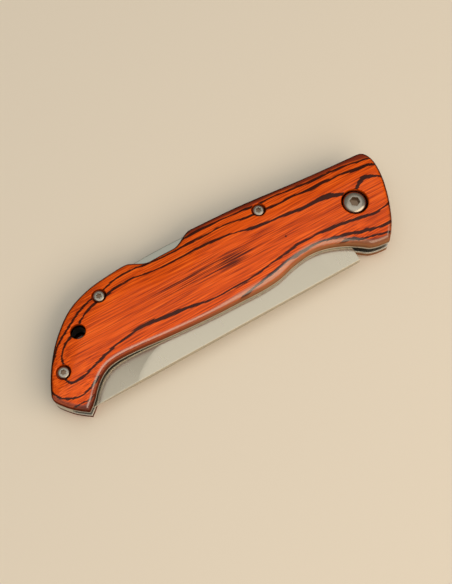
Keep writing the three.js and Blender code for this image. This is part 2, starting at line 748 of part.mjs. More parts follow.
for (const [where, at] of Object.entries(bodyScrews)) {
  addPiece(`${where}_sleeve`, makeSleeve(), groundSteel, at, REAR_LINER_Z);
  addPiece(`front_${where}_screw`, makeBodyScrew(), polishedSteel, at, FRONT_SCALE_Z + SCREW_SEAT);
  addPiece(`rear_${where}_screw`, makeBodyScrew(), polishedSteel, at, REAR_LINER_Z - SCREW_SEAT, true);
}

const extent = new THREE.Box3().setFromObject(knife);
inPlan.position.set(-(extent.min.x + extent.max.x) / 2, -(extent.min.y + extent.max.y) / 2, 0);

export default knife;
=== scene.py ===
# %% [markdown]
# # A folding pocket knife with laminated wood scales
#
# The knife lies closed on its side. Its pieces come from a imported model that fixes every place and
# joint, and this script gives each one its finished surface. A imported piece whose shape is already
# right keeps its mesh and gets a material. A piece whose curves show is built again, finer, in the
# same place.

# %% Frame
import math

import bpy
import numpy as np
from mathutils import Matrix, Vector
from mathutils.geometry import delaunay_2d_cdt


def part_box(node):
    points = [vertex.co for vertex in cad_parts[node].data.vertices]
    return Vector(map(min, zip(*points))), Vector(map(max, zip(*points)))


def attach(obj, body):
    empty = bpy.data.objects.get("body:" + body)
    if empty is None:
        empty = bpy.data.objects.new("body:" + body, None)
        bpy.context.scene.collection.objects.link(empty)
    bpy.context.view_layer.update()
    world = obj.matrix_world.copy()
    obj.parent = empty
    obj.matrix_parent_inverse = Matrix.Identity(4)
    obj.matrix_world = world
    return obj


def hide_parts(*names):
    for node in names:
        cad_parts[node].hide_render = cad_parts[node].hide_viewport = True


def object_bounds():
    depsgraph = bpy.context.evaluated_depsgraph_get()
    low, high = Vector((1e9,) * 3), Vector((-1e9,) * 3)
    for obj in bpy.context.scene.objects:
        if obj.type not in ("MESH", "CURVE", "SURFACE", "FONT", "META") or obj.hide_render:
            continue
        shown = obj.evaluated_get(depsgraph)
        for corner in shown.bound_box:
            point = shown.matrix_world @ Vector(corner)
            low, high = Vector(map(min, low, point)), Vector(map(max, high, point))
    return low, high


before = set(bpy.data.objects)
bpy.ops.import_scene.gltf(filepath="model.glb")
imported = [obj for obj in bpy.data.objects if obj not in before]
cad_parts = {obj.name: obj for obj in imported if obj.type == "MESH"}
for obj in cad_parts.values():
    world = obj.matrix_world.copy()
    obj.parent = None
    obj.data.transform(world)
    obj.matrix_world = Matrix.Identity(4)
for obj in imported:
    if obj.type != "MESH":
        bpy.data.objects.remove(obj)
cad_low, cad_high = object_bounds()

# %% [markdown]
# A knife is drawn from its pivot, so all the shapes here are in millimetres from the pivot: X runs
# to the front end, Y to the back, and Z up from the surface that the knife lies on. Only the last
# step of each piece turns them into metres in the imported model's frame.

# %% Units and places
MM = 0.001


def middle_of(node):
    """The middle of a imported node's box, in metres."""
    low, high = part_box(node)
    return (low + high) / 2


PIVOT = middle_of("pivot_screw")
print("pivot in the packed frame, in mm:", [round(side / MM, 2) for side in PIVOT])


def from_pivot(place):
    """A place in metres as millimetres from the pivot, in plan."""
    return np.array([place.x - PIVOT.x, place.y - PIVOT.y]) / MM


def plan_of(mesh):
    """The points of a mesh in plan, in millimetres from the pivot."""
    return np.array([from_pivot(vertex.co) for vertex in mesh.vertices])


def heights(node):
    """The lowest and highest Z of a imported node, in millimetres."""
    low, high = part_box(node)
    return low.z / MM, high.z / MM


def in_metres(points):
    """Points in millimetres from the pivot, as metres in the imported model's frame."""
    points = np.asarray(points, float)
    return points * MM + np.array([PIVOT.x, PIVOT.y, 0.0])


def linear(value):
    """One sRGB channel from 0 to 1 as linear light."""
    return value / 12.92 if value <= 0.04045 else ((value + 0.055) / 1.055) ** 2.4


def colour(hex_code):
    """A written colour such as #D7551A as the linear RGBA that sockets take."""
    channels = [int(hex_code[i : i + 2], 16) / 255 for i in (1, 3, 5)]
    return (*[linear(channel) for channel in channels], 1.0)


# %% [markdown]
# Materials and Geometry Nodes trees are both made of nodes. One function adds a node of any kind,
# with its settings and links. A tree also has many small sums, which all look alike. They are
# written as rows, like the lines of a calculation on paper, and each row becomes one node.

# %% Nodes
ROW_NODES = {
    "LINEAR": ("ShaderNodeMapRange", "interpolation_type"),
    "SMOOTHSTEP": ("ShaderNodeMapRange", "interpolation_type"),
    "FLOAT": ("ShaderNodeMix", "data_type"),
}


def fill(node, inputs):
    """Sets inputs by name or number, or in their order if no names are given.

    An input takes a value or a socket. A node stands for its first output."""
    if not isinstance(inputs, dict):
        live = [number for number, socket in enumerate(node.inputs) if socket.enabled]
        inputs = dict(zip(live, inputs))
    for key, value in inputs.items():
        if isinstance(value, bpy.types.Node):
            value = next(socket for socket in value.outputs if socket.enabled)
        if isinstance(value, bpy.types.NodeSocket):
            node.id_data.links.new(value, node.inputs[key])
        else:
            node.inputs[key].default_value = value


def add(tree, kind, inputs=(), stops=(), **settings):
    """Adds a node with its settings. A colour ramp takes its stops as places and written colours."""
    made = tree.nodes.new(kind)
    for name, value in settings.items():
        setattr(made, name, value)
    for number, (position, shade) in enumerate(stops):
        if number >= len(made.color_ramp.elements):
            made.color_ramp.elements.new(position)
        made.color_ramp.elements[number].position = position
        made.color_ramp.elements[number].color = colour(shade)
    fill(made, inputs)
    return made


def work_out(tree, known, rows):
    """Adds one node for each row, and keeps it in known under the row's name.

    A row is a name, what is done and with which values, and a value may be an earlier row's name.
    LINEAR and SMOOTHSTEP turn a value from one range to another, FLOAT mixes two numbers, and the
    others are what a Math node calls its operations."""
    for name, done, *values in rows:
        kind, setting = ROW_NODES.get(done, ("ShaderNodeMath", "operation"))
        values = [known.get(value, value) for value in values]
        known[name] = add(tree, kind, values, **{setting: done})


# %% [markdown]
# The camera stands above the belly side and looks down at 70 degrees. The lens is worked out from
# the focal length in pixels of a picture that is 584 pixels high.

# %% Camera
PICTURE_HEIGHT = 584
FOCAL_PIXELS = 950
SENSOR = 36.0
AZIMUTH = math.radians(-30)
ELEVATION = math.radians(70)
DISTANCE = 0.28875
LOOK_AT = Vector((-0.0015, -0.00657, 0.013))


def direction_to(azimuth, elevation):
    """The direction from the knife to a place round it. Azimuth 0 is the belly side."""
    level = math.cos(elevation)
    return Vector((math.sin(azimuth) * level, -math.cos(azimuth) * level, math.sin(elevation)))


away = direction_to(AZIMUTH, ELEVATION)
camera_data = bpy.data.cameras.new("camera")
camera_data.sensor_width = SENSOR
camera_data.lens = FOCAL_PIXELS * SENSOR / PICTURE_HEIGHT
camera_data.clip_start = 0.01
camera = bpy.data.objects.new("camera", camera_data)
camera.location = LOOK_AT + away * DISTANCE
camera.rotation_mode = "QUATERNION"
camera.rotation_quaternion = (-away).to_track_quat("-Z", "Y")
bpy.context.scene.collection.objects.link(camera)
bpy.context.scene.camera = camera
bpy.context.scene.view_settings.view_transform = "Standard"
print("lens", round(camera_data.lens, 2), "mm")

# %% [markdown]
# Steel has hardly any colour of its own: what it shows is the room. So the room is pale overhead and
# darker towards the floor, and two soft boxes hang in it. The wide one overhead is what the flat
# faces mirror to the camera, and it ends just before the place that the blade's grind mirrors, so
# the grind shows darker. The long low one on the belly side lights the knife from the front and
# draws the bright line along the rounded edges of the scales.

# %% Floor and light
FLOOR_SIZE = 3.0
ROOM_LOW = 0.10
ROOM_HIGH = 0.46

half = FLOOR_SIZE / 2
corners = [(-half, -half, 0), (half, -half, 0), (half, half, 0), (-half, half, 0)]
floor_mesh = bpy.data.meshes.new("floor")
floor_mesh.from_pydata(corners, [], [(0, 1, 2, 3)])
floor = bpy.data.objects.new("floor", floor_mesh)
bpy.context.scene.collection.objects.link(floor)

floor_paint = bpy.data.materials.new("matt_paper_floor")
floor_paint.use_nodes = True
fill(
    floor_paint.node_tree.nodes["Principled BSDF"],
    {"Base Color": colour("#EAE2D2"), "Roughness": 0.9, "Specular IOR Level": 0.1},
)
floor_mesh.materials.append(floor_paint)

world = bpy.data.worlds.new("pale_room")
bpy.context.scene.world = world
world.use_nodes = True
direction = add(world.node_tree, "ShaderNodeTexCoord").outputs["Generated"]
upward = add(world.node_tree, "ShaderNodeSeparateXYZ", [direction]).outputs["Z"]
strength = add(world.node_tree, "ShaderNodeMapRange", [upward, 0.0, 1.0, ROOM_LOW, ROOM_HIGH])
fill(
    world.node_tree.nodes["Background"], {"Color": colour("#FBF6EC"), "Strength": strength}
)


def soft_box(name, azimuth, elevation, distance, size, power, tint="#FFFFFF"):
    """A rectangular lamp that faces the knife. Azimuth 0 stands on the belly side."""
    towards = direction_to(math.radians(azimuth), math.radians(elevation))
    lamp = bpy.data.lights.new(name, "AREA")
    lamp.shape = "RECTANGLE"
    lamp.size, lamp.size_y = size
    lamp.energy = power
    lamp.color = colour(tint)[:3]
    holder = bpy.data.objects.new(name, lamp)
    holder.location = towards * distance
    holder.rotation_mode = "QUATERNION"
    holder.rotation_quaternion = towards.to_track_quat("Z", "Y")
    bpy.context.scene.collection.objects.link(holder)
    print(name, "stands at", [round(side, 2) for side in holder.location])


soft_box("overhead_box", azimuth=0, elevation=87, distance=1.0, size=(1.2, 0.9), power=2.6)
soft_box(
    "belly_box", azimuth=22, elevation=43, distance=1.0, size=(1.3, 0.62), power=6.9, tint="#FFE9CF"
)

# %% [markdown]
# The scales are laminated wood: birch veneers dyed orange and black, pressed with resin into a block
# and sanded to shape. Where the sander cuts through a black veneer, it shows as a line. An image could
# carry those lines, but it would blur close up. So the material works them out: a later cell stores
# how far each point lies from each line, and the line is drawn where that is near zero. Other stored
# values say where the wood is turned down, bored, or rubbed by the hand, and where shade is painted on
# it.

# %% Grain and stored distances
RIM_RADIUS = 0.3
PLY_THICKNESS = 0.75
PORE = (-25.1, 0.6)
SMOKY_PATCHES = [((-45.0, 2.3), (12.0, 3.8)), ((-54.0, 2.8), (22.0, 5.0))]
STORED = ("below_face", "into_rim", "burnished", "far_edge", "turned_down", "bold")
CONTOUR_NAMES = ("line_1", "line_2", "line_3")

# Each noise has streaks of a length and a width in millimetres, and a seed. The real fine streaks
# are about a tenth of a millimetre wide. They are drawn at a third, as fine as the picture can show.
GRAIN = {
    "cloud": (24, 5, 0),
    "streak": (26, 0.8, 7),
    "fine": (13, 0.34, 13),
    "wander": (7, 2.5, 31),
    "swell": (15, 6, 47),
}


# %% Values for the wood


def material(name):
    """A new material, with its tree and its main shader."""
    made = bpy.data.materials.new(name)
    made.use_nodes = True
    return made, made.node_tree, made.node_tree.nodes["Principled BSDF"]


def place_in_mm(tree):
    """Object coordinates in millimetres from the pivot."""
    here = add(tree, "ShaderNodeTexCoord").outputs["Object"]
    moved = {"Vector": here, "Location": (-PIVOT.x / MM, -PIVOT.y / MM, 0), "Scale": (1 / MM,) * 3}
    return add(tree, "ShaderNodeMapping", moved)


def wood_values(tree, place):
    """What the wood is worked out from, by name: its noises, stored values and distances."""
    known = {}
    for name, (along, across, seed) in GRAIN.items():
        scale = (1 / along, 1 / across, 1 / across)
        size = add(
            tree, "ShaderNodeMapping", {"Vector": place, "Scale": scale, "Location": (seed, seed, 0)}
        )
        known[name] = add(
            tree, "ShaderNodeTexNoise", {"Vector": size, "Scale": 1.0, "Detail": 2.0, "Roughness": 0.6}
        )
    for name in (*STORED, *CONTOUR_NAMES):
        known[name] = add(tree, "ShaderNodeAttribute", attribute_name=name).outputs["Fac"]
    for number, (middle, size) in enumerate(SMOKY_PATCHES, 1):
        moved = {
            "Vector": place,
            "Location": (-middle[0] / size[0], -middle[1] / size[1], 0),
            "Scale": (1 / size[0], 1 / size[1], 0),
        }
        within = add(tree, "ShaderNodeMapping", moved)
        known[f"from_patch_{number}"] = add(
            tree, "ShaderNodeVectorMath", [within], operation="LENGTH"
        )
    at = add(tree, "ShaderNodeSeparateXYZ", [place]).outputs
    flat = add(tree, "ShaderNodeCombineXYZ", [at["X"], at["Y"]])
    known["x"] = at["X"]
    known["from_pore"] = add(
        tree, "ShaderNodeVectorMath", [flat, (*PORE, 0)], operation="DISTANCE"
    )
    return known


# %% [markdown]
# The rows follow the block from inside out. Clouds of dye and streaks of two sizes give the orange.
# The sander pulls fibres across a black line, so noise moves the line and feathers its edges. The
# lacquer comes last. It shines where hands have polished it, along the belly, and is dull where it
# has sunk in.

# %% What the wood works out
WOOD_ROWS = [
    ("tone", "FLOAT", 0.5, "cloud", "streak"),
    ("blend", "FLOAT", 0.72, "tone", "fine"),
    # A black line wanders, swells and thins. width is how far it reaches to each side, and at
    # outer it has faded out.
    ("shift", "LINEAR", "wander", 0.3, 0.7, -0.22, 0.22),
    ("feather", "LINEAR", "fine", 0.35, 0.65, 0.18, -0.1),
    ("width", "LINEAR", "swell", 0.36, 0.66, 0.12, 0.28),
    ("width", "ADD", "width", "bold"),
    ("width", "ADD", "width", "feather"),
    ("outer", "ADD", "width", 0.22),
    ("off_1", "ADD", "line_1", "shift"),
    ("off_1", "ABSOLUTE", "off_1"),
    ("off_2", "ADD", "line_2", "shift"),
    ("off_2", "ABSOLUTE", "off_2"),
    ("off_3", "ADD", "line_3", "shift"),
    ("off_3", "ABSOLUTE", "off_3"),
    ("off", "MINIMUM", "off_1", "off_2"),
    ("off", "MINIMUM", "off", "off_3"),
    ("line", "SMOOTHSTEP", "off", "width", "outer", 0.95, 0.0),
    # On the sawn side the veneers lie one above the other, and the lines of the face end.
    ("veneer", "DIVIDE", "below_face", PLY_THICKNESS),
    ("veneer", "FRACT", "veneer"),
    ("glue", "LINEAR", "veneer", 0.72, 0.8, 0.0, 0.85),
    ("on_side", "GREATER_THAN", "below_face", 0.05),
    ("off_side", "SUBTRACT", 1.0, "on_side"),
    ("glue", "MULTIPLY", "glue", "on_side"),
    ("on_round", "LINEAR", "turned_down", 0.4, 0.9, 1.0, 0.15),
    ("line", "MULTIPLY", "line", "off_side"),
    ("line", "MULTIPLY", "line", "on_round"),
    ("inked", "MAXIMUM", "line", "glue"),
    # A smoky patch in the middle, where a black veneer lies just under the surface.
    ("patch_1", "SMOOTHSTEP", "from_patch_1", 0.0, 1.0, 1.25, 0.0),
    ("patch_2", "SMOOTHSTEP", "from_patch_2", 0.0, 1.0, 0.85, 0.0),
    ("patch", "MAXIMUM", "patch_1", "patch_2"),
    ("grain", "ADD", "fine", "streak"),
    ("thinned", "MULTIPLY_ADD", "grain", -3.6, 3.6),
    ("uneven", "ADD", "patch", "thinned"),
    ("smoky", "LINEAR", "uneven", 0.35, 1.2, 0.0, 0.9),
    ("only_there", "LINEAR", "patch", 0.0, 0.25, 0.0, 1.0),
    ("smoky", "MULTIPLY", "smoky", "only_there"),
    # Outside the lowest line, along the back, a dark red-brown is painted on as shade. The turned-down
    # side and the belly's rounding are brown: partly the sawn grain, and partly painted shade and a
    # painted reflection of a brown floor.
    ("low", "LINEAR", "line_3", -0.25, -0.95, 0.0, 0.85),
    ("turned", "LINEAR", "turned_down", 0.25, 0.8, 0.0, 0.95),
    ("worn", "MULTIPLY", "burnished", 0.65),
    ("side", "MAXIMUM", "turned", "worn"),
    ("from_butt", "LINEAR", "x", -95.0, -25.0, 0.0, 1.0),
    # One open pore, which is nearly black, and the bores, which are painted nearly black as shade.
    ("pore", "LINEAR", "from_pore", 0.2, 0.45, 0.9, 0.0),
    ("at_rim", "LINEAR", "into_rim", RIM_RADIUS * 0.9, RIM_RADIUS, 0.0, 1.0),
    ("bored", "LINEAR", "below_face", 0.1, 1.8, 0.0, 1.0),
    ("in_bore", "MULTIPLY", "at_rim", "bored"),
    ("dark", "MAXIMUM", "pore", "in_bore"),
    # The fibres are duller than the resin between them, and the lacquer has sunk into the rest.
    ("rough", "LINEAR", "fine", 0.3, 0.7, 0.46, 0.34),
    ("most", "LINEAR", "from_butt", 0.0, 1.0, 1.0, 0.6),
    ("lacquer", "LINEAR", "burnished", 0.0, 1.0, 0.12, "most"),
    ("upright", "LINEAR", "turned_down", 0.3, 0.7, 1.0, 0.0),
    ("bare", "MAXIMUM", "far_edge", "in_bore"),
    ("bare", "SUBTRACT", 1.0, "bare"),
    ("bare", "MULTIPLY", "upright", "bare"),
    ("lacquer", "MULTIPLY", "lacquer", "bare"),
]
print("rows for the wood:", len(WOOD_ROWS))

# %% Laminated wood material
ORANGE_DYE = [
    (0.33, "#8A2A06"),
    (0.42, "#C24508"),
    (0.49, "#DC5208"),
    (0.56, "#EE5E0C"),
    (0.64, "#F9701C"),
]
# The side's brown is partly the sawn grain, and partly painted shade and a painted reflection of a
# brown floor. It is darker towards the butt.
SIDE_BROWN = [(0.0, "#5A2A1B"), (0.3, "#86472D"), (0.8, "#9A6A48")]


def laminated_wood():
    """Dyed birch laminate under satin lacquer: strong colour in the wood, a soft gloss over it."""
    made, tree, shader = material("satin_lacquered_birch_laminate")
    known = wood_values(tree, place_in_mm(tree))
    work_out(tree, known, WOOD_ROWS)
    shown = add(tree, "ShaderNodeValToRGB", [known["blend"]], stops=ORANGE_DYE)
    brown = add(tree, "ShaderNodeValToRGB", [known["from_butt"]], stops=SIDE_BROWN)
    # Over the dye go a smoky patch, the painted shade along the back, the brown of the side and belly
    # rounding, the black lines, the painted shade on the edges that face away from the belly, and near
    # black in the pore and, as painted shade, in the bores.
    for share, over in (
        ("smoky", colour("#4A1A0B")),
        ("low", colour("#6B2418")),
        ("side", brown),
        ("inked", colour("#1A0D09")),
        ("far_edge", colour("#2E120B")),
        ("dark", colour("#0C0604")),
    ):
        shown = add(tree, "ShaderNodeMix", [known[share], shown, over], data_type="RGBA")
    bump = {"Height": known["fine"], "Strength": 0.25, "Distance": 0.015 * MM}
    looks = {
        "Base Color": shown,
        "Roughness": known["rough"],
        "Normal": add(tree, "ShaderNodeBump", bump),
        "IOR": 1.45,
        "Specular IOR Level": 0.0,
        "Coat Weight": known["lacquer"],
        "Coat Roughness": 0.17,
        "Coat IOR": 2.0,
    }
    fill(shader, looks)
    return made


wood = laminated_wood()

# %% [markdown]
# The knife has four kinds of steel surface. The blade is ground and satin finished. The liners are
# stamped sheet with bright edges. The lock bar and the back spacer are ground flush with the handle,
# square across it, which leaves fine lines from side to side. The screws are turned and polished.
# One function makes them all, because they differ only in shade, in gloss and in the size and depth
# of their lines. The real lines are a few hundredths of a millimetre apart, and are drawn coarser,
# as fine as the picture can show.

# %% Steel materials


def steel(name, shade, roughness, along, across, depth, spread=0.06, painted_shade=None):
    """A steel with fine lines. along and across are the size of a line in X and Y, in millimetres.

    The last argument names the attribute that says where shade is painted on, and the colour painted
    there."""
    made, tree, shader = material(name)
    place = place_in_mm(tree)
    scale = (1 / along, 1 / across, 1 / across)
    size = add(tree, "ShaderNodeMapping", {"Vector": place, "Scale": scale})
    known = {
        "lines": add(tree, "ShaderNodeTexNoise", {"Vector": size, "Scale": 1.0, "Detail": 1.0}),
        "clouds": add(tree, "ShaderNodeTexNoise", {"Vector": place, "Scale": 0.15, "Detail": 2.0}),
    }
    rows = [
        ("both", "ADD", "lines", "clouds"),
        ("rough", "LINEAR", "both", 0.6, 1.4, roughness - spread, roughness + spread),
    ]
    work_out(tree, known, rows)
    shown = colour(shade)
    if painted_shade:
        stored, shade_colour = painted_shade
        shaded_share = add(tree, "ShaderNodeAttribute", attribute_name=stored).outputs["Fac"]
        shown = add(tree, "ShaderNodeMix", [shaded_share, shown, colour(shade_colour)], data_type="RGBA")
    bump = {"Height": known["lines"], "Strength": 0.5, "Distance": depth * MM}
    looks = {
        "Base Color": shown,
        "Metallic": 1.0,
        "Roughness": known["rough"],
        "Normal": add(tree, "ShaderNodeBump", bump),
    }
    fill(shader, looks)
    return made


# Ground and satin finished, the blade is an even pale grey that mirrors only broad shapes.
blade_steel = steel("satin_ground_stainless", "#C6BEAB", 0.27, 1.2, 12, 0.0003, spread=0.006)
# Sheet as it comes from the mill is a little darker, and its holes are full of shade.
liner_steel = steel(
    "stamped_stainless_sheet", "#B2AEA4", 0.3, 3, 0.5, 0.003, painted_shade=("in_bore", "#070605")
)
# Grinding square across leaves lines that spread each highlight along the handle. Its holes are
# painted nearly black, as shade.
bar_steel = steel(
    "cross_ground_stainless", "#B7B8AC", 0.34, 0.3, 12, 0.012, painted_shade=("in_bore", "#070605")
)
# Turned and polished, the screws show small sharp highlights, and their sockets are painted brown as
# shade.
screw_steel = steel(
    "turned_stainless_screw", "#A39C8F", 0.26, 1, 1, 0.002, painted_shade=("in_socket", "#7C6856")
)
# The spring is blued by its tempering. The washers are rolled bronze, warm and slightly dull.
spring_steel = steel("blued_spring_steel", "#5E6670", 0.35, along=4, across=0.4, depth=0.003)
bronze = steel("rolled_phosphor_bronze", "#B98F52", 0.35, along=3, across=0.5, depth=0.003)
print("finishes:", [finish.name for finish in bpy.data.materials])

# %% [markdown]
# The outline of the handle is a set of smooth curves that meet at two sharp corners, at the nose and
# at the butt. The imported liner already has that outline, but as a polygon with coarse steps. Its
# corners lie on the true curve, so a smooth curve through them gives the outline back, and it can
# then be sampled as finely as a surface needs.

# %% Smooth outline
OUTLINE_STEP = 0.55
CORNER_TURN = math.radians(24)


def fair_curve(points, per_span=24):
    """Samples of a smooth curve through points: a centripetal Catmull-Rom curve."""
    p = np.array(points, float)
    p = np.vstack([2 * p[0] - p[1], p, 2 * p[-1] - p[-2]])
    gaps = np.sqrt(np.linalg.norm(np.diff(p, axis=0), axis=1))
    t = np.linspace(0, 1, per_span, endpoint=False)[:, None]
    spans = []
    for i in range(1, len(p) - 2):
        before, here, after = gaps[i - 1 : i + 2]
        a, b, c, d = p[i - 1 : i + 3]
        leave = ((b - a) / before - (c - a) / (before + here) + (c - b) / here) * here
        arrive = ((c - b) / here - (d - b) / (here + after) + (d - c) / after) * here
        bend = 3 * (c - b) - 2 * leave - arrive
        spans.append(b + leave * t + bend * t**2 + (2 * (b - c) + leave + arrive) * t**3)
    return np.vstack([*spans, p[-2:-1]])


def evenly(points, step):
    """The same line with its points about one step apart, and its ends kept."""
    points = np.asarray(points, float)
    lengths = np.linalg.norm(np.diff(points, axis=0), axis=1)
    travelled = np.concatenate([[0], np.cumsum(lengths)])
    count = max(2, round(travelled[-1] / step) + 1)
    at = np.linspace(0, travelled[-1], count)
    return np.column_stack([np.interp(at, travelled, points[:, i]) for i in (0, 1)])


# %% Outline of a packed plate


def top_loops(node):
    """The closed lines round the top face of a flat packed plate, in millimetres, longest first."""
    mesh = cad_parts[node].data
    points = np.array([tuple(v.co) for v in mesh.vertices])
    places, index = np.unique(np.round(points, 6), axis=0, return_inverse=True)
    index = index.ravel()
    top = places[:, 2].max() - 1e-6
    uses = {}
    for face in mesh.polygons:
        corners = [int(index[v]) for v in face.vertices]
        if min(places[corner, 2] for corner in corners) < top:
            continue
        for a, b in zip(corners, corners[1:] + corners[:1]):
            uses[(a, b)] = True
    border = {a: b for a, b in uses if (b, a) not in uses}
    loops = []
    while border:
        start, following = border.popitem()
        loop = [start]
        while following != start:
            loop.append(following)
            following = border.pop(following)
        loops.append(np.array([from_pivot(Vector(places[i])) for i in loop]))
    return sorted(loops, key=lambda loop: -np.ptp(loop[:, 0]))


def smooth_loop(loop, step=OUTLINE_STEP):
    """A closed polygon as a fine closed line that keeps its sharp corners."""
    edges = np.roll(loop, -1, axis=0) - loop
    heading = np.arctan2(edges[:, 1], edges[:, 0])
    turn = np.abs((heading - np.roll(heading, 1) + math.pi) % (2 * math.pi) - math.pi)
    corners = np.flatnonzero(turn > CORNER_TURN)
    loop = np.roll(loop, -corners[0], axis=0)
    stops = [*(corners - corners[0]), len(loop)]
    loop = np.vstack([loop, loop[:1]])
    pieces = [
        evenly(fair_curve(loop[a : b + 1]), step)[:-1] for a, b in zip(stops, stops[1:])
    ]
    return np.vstack(pieces)


handle_outline = smooth_loop(top_loops("front_liner")[0])
print("outline points:", len(handle_outline))

# %% [markdown]
# A crowned plate with holes is drawn flat first. Its points are the outline, rings just inside it
# where the face will turn over, rings round each hole, and an even field between them. A constrained
# Delaunay triangulation joins them, which keeps the rims of the holes exact. A boolean cut would
# also make the holes, but it leaves long thin triangles that show in a lacquered surface.

# %% Rims and distances


def rim(centre, radius, sides):
    """Points round a circle, anticlockwise."""
    turn = np.arange(sides) * 2 * math.pi / sides
    return np.asarray(centre) + radius * np.column_stack([np.cos(turn), np.sin(turn)])


def to_line(points, line, closed=True):
    """The distance from each point to a line."""
    starts = line if closed else line[:-1]
    ends = np.roll(line, -1, axis=0) if closed else line[1:]
    nearest = np.full(len(points), np.inf)
    for start, end in zip(starts, ends):
        edge = end - start
        share = np.clip((points - start) @ edge / max(edge @ edge, 1e-12), 0, 1)
        gap = points - start - share[:, None] * edge
        nearest = np.minimum(nearest, np.einsum("ij,ij->i", gap, gap))
    return np.sqrt(nearest)


def inside(points, line):
    """Which points lie inside a closed line."""
    odd = np.zeros(len(points), bool)
    for (x1, y1), (x2, y2) in zip(line, np.roll(line, -1, axis=0)):
        if y1 == y2:
            continue
        crosses = (points[:, 1] >= min(y1, y2)) & (points[:, 1] < max(y1, y2))
        odd ^= crosses & (points[:, 0] < x1 + (points[:, 1] - y1) * (x2 - x1) / (y2 - y1))
    return odd


# %% Moved lines, fields and triangles
# At a sharp corner a line that is moved in would shoot past, so its mitre is held at this.
MITRE_LIMIT = 0.4


def moved_in(line, distance):
    """A closed anticlockwise line moved inwards."""
    along = np.roll(line, -1, axis=0) - line
    normal = np.column_stack([-along[:, 1], along[:, 0]])
    normal /= np.linalg.norm(normal, axis=1)[:, None]
    both = normal + np.roll(normal, 1, axis=0)
    length = np.einsum("ij,ij->i", both, both)
    return line + both * (2 * distance / np.maximum(length, MITRE_LIMIT))[:, None]


def field(low, high, step):
    """An even triangular field of points over a box."""
    rows = np.arange(low[1], high[1], step * math.sqrt(3) / 2)
    columns = np.arange(low[0], high[0], step)
    lines = [
        np.column_stack([columns + (i % 2) * step / 2, np.full(len(columns), y)])
        for i, y in enumerate(rows)
    ]
    return np.vstack(lines)


def joined(loops, loose=()):
    """Triangles over the space inside the first loop and outside the others."""
    points = np.vstack([*loops, *loose])
    edges = []
    start = 0
    for loop in loops:
        ids = np.arange(start, start + len(loop))
        edges += list(zip(ids.tolist(), np.roll(ids, -1).tolist()))
        start += len(loop)
    flat = [Vector((float(x), float(y))) for x, y in points]
    found, _, faces, _, _, _ = delaunay_2d_cdt(flat, edges, [], 0, 1e-6, False)
    places = np.array([tuple(p) for p in found])
    faces = np.array([tuple(face) for face in faces])
    middles = places[faces].mean(axis=1)
    keep = inside(middles, loops[0])
    for hole in loops[1:]:
        keep &= ~inside(middles, hole)
    assert len(places) == len(points) and np.abs(places - points).max() < 1e-4
    return points, faces[keep]


# %% [markdown]
# A solid is closed from that drawing in three moves: the drawing is its upper skin, the outline and
# the rims are carried down as walls, and a second, plain drawing closes it underneath. A hole lists
# the rings that its wall passes on the way down, so that a counterbore is just two more rings.

# %% Closed solids


class Solid:
    """Points and faces of one closed mesh, in millimetres from the pivot."""

    def __init__(self):
        self.points = []
        self.faces = []

    def ring(self, line, height):
        """Adds a ring of points and returns their numbers."""
        line = np.asarray(line, float)
        level = np.full(len(line), height) if np.isscalar(height) else np.asarray(height)
        start = len(self.points)
        self.points += np.column_stack([line, level]).tolist()
        return np.arange(start, start + len(line))

    def skin(self, ids, faces, up):
        """Adds triangles that face up or down."""
        for a, b, c in faces:
            (ax, ay, _), (bx, by, _), (cx, cy, _) = (self.points[ids[i]] for i in (a, b, c))
            level = (bx - ax) * (cy - ay) - (by - ay) * (cx - ax)
            order = (a, b, c) if (level > 0) == up else (a, c, b)
            self.faces.append([int(ids[i]) for i in order])

    def wall(self, upper, lower, outward=True):
        """Joins two rings of equal length. The outline's wall faces out, and a hole's faces in."""
        for i in range(len(upper)):
            j = (i + 1) % len(upper)
            quad = [int(lower[i]), int(lower[j]), int(upper[j]), int(upper[i])]
            self.faces.append(quad if outward else quad[::-1])

    def mesh_object(self, name, sharp=35):
        """The solid as a Blender object with its place in its mesh."""
        mesh = bpy.data.meshes.new(name)
        places = in_metres(self.points)
        places[:, :2] = np.clip(places[:, :2], cad_low[:2], cad_high[:2])
        mesh.from_pydata(places.tolist(), [], self.faces)
        mesh.shade_smooth()
        mesh.set_sharp_from_angle(angle=math.radians(sharp))
        made = bpy.data.objects.new(name, mesh)
        bpy.context.scene.collection.objects.link(made)
        return made


# %% Places of the holes
SIDES = 48
PIVOT_SIDES = 72
screw_places = {name: from_pivot(middle_of(f"{name}_sleeve")) for name in ("rocker", "mid", "butt")}


def hole_in(node, near):
    """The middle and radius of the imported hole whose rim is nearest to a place."""
    rims = top_loops(node)[1:]
    middles = [loop.mean(axis=0) for loop in rims]
    best = min(range(len(rims)), key=lambda i: np.linalg.norm(middles[i] - near))
    return middles[best], np.linalg.norm(rims[best] - middles[best], axis=1).max()


LANYARD_NEAR = (-95.2, 5.4)
lanyard_hole, LANYARD_RADIUS = hole_in("front_liner", LANYARD_NEAR)
print("lanyard hole", np.round(lanyard_hole, 2), "radius", round(LANYARD_RADIUS, 2))

# %% [markdown]
# The scales are the two wooden sides. Their faces follow one rule: flat in the middle, falling away
# along the back, the belly and the butt, and rounded over a small radius at every edge. The front
# end is cut square across, so the face doesn't fall there. A rule like this suits Geometry Nodes:
# the flat drawing carries its distances as attributes, and a node tree raises the face by a formula
# whose sizes are plain inputs.

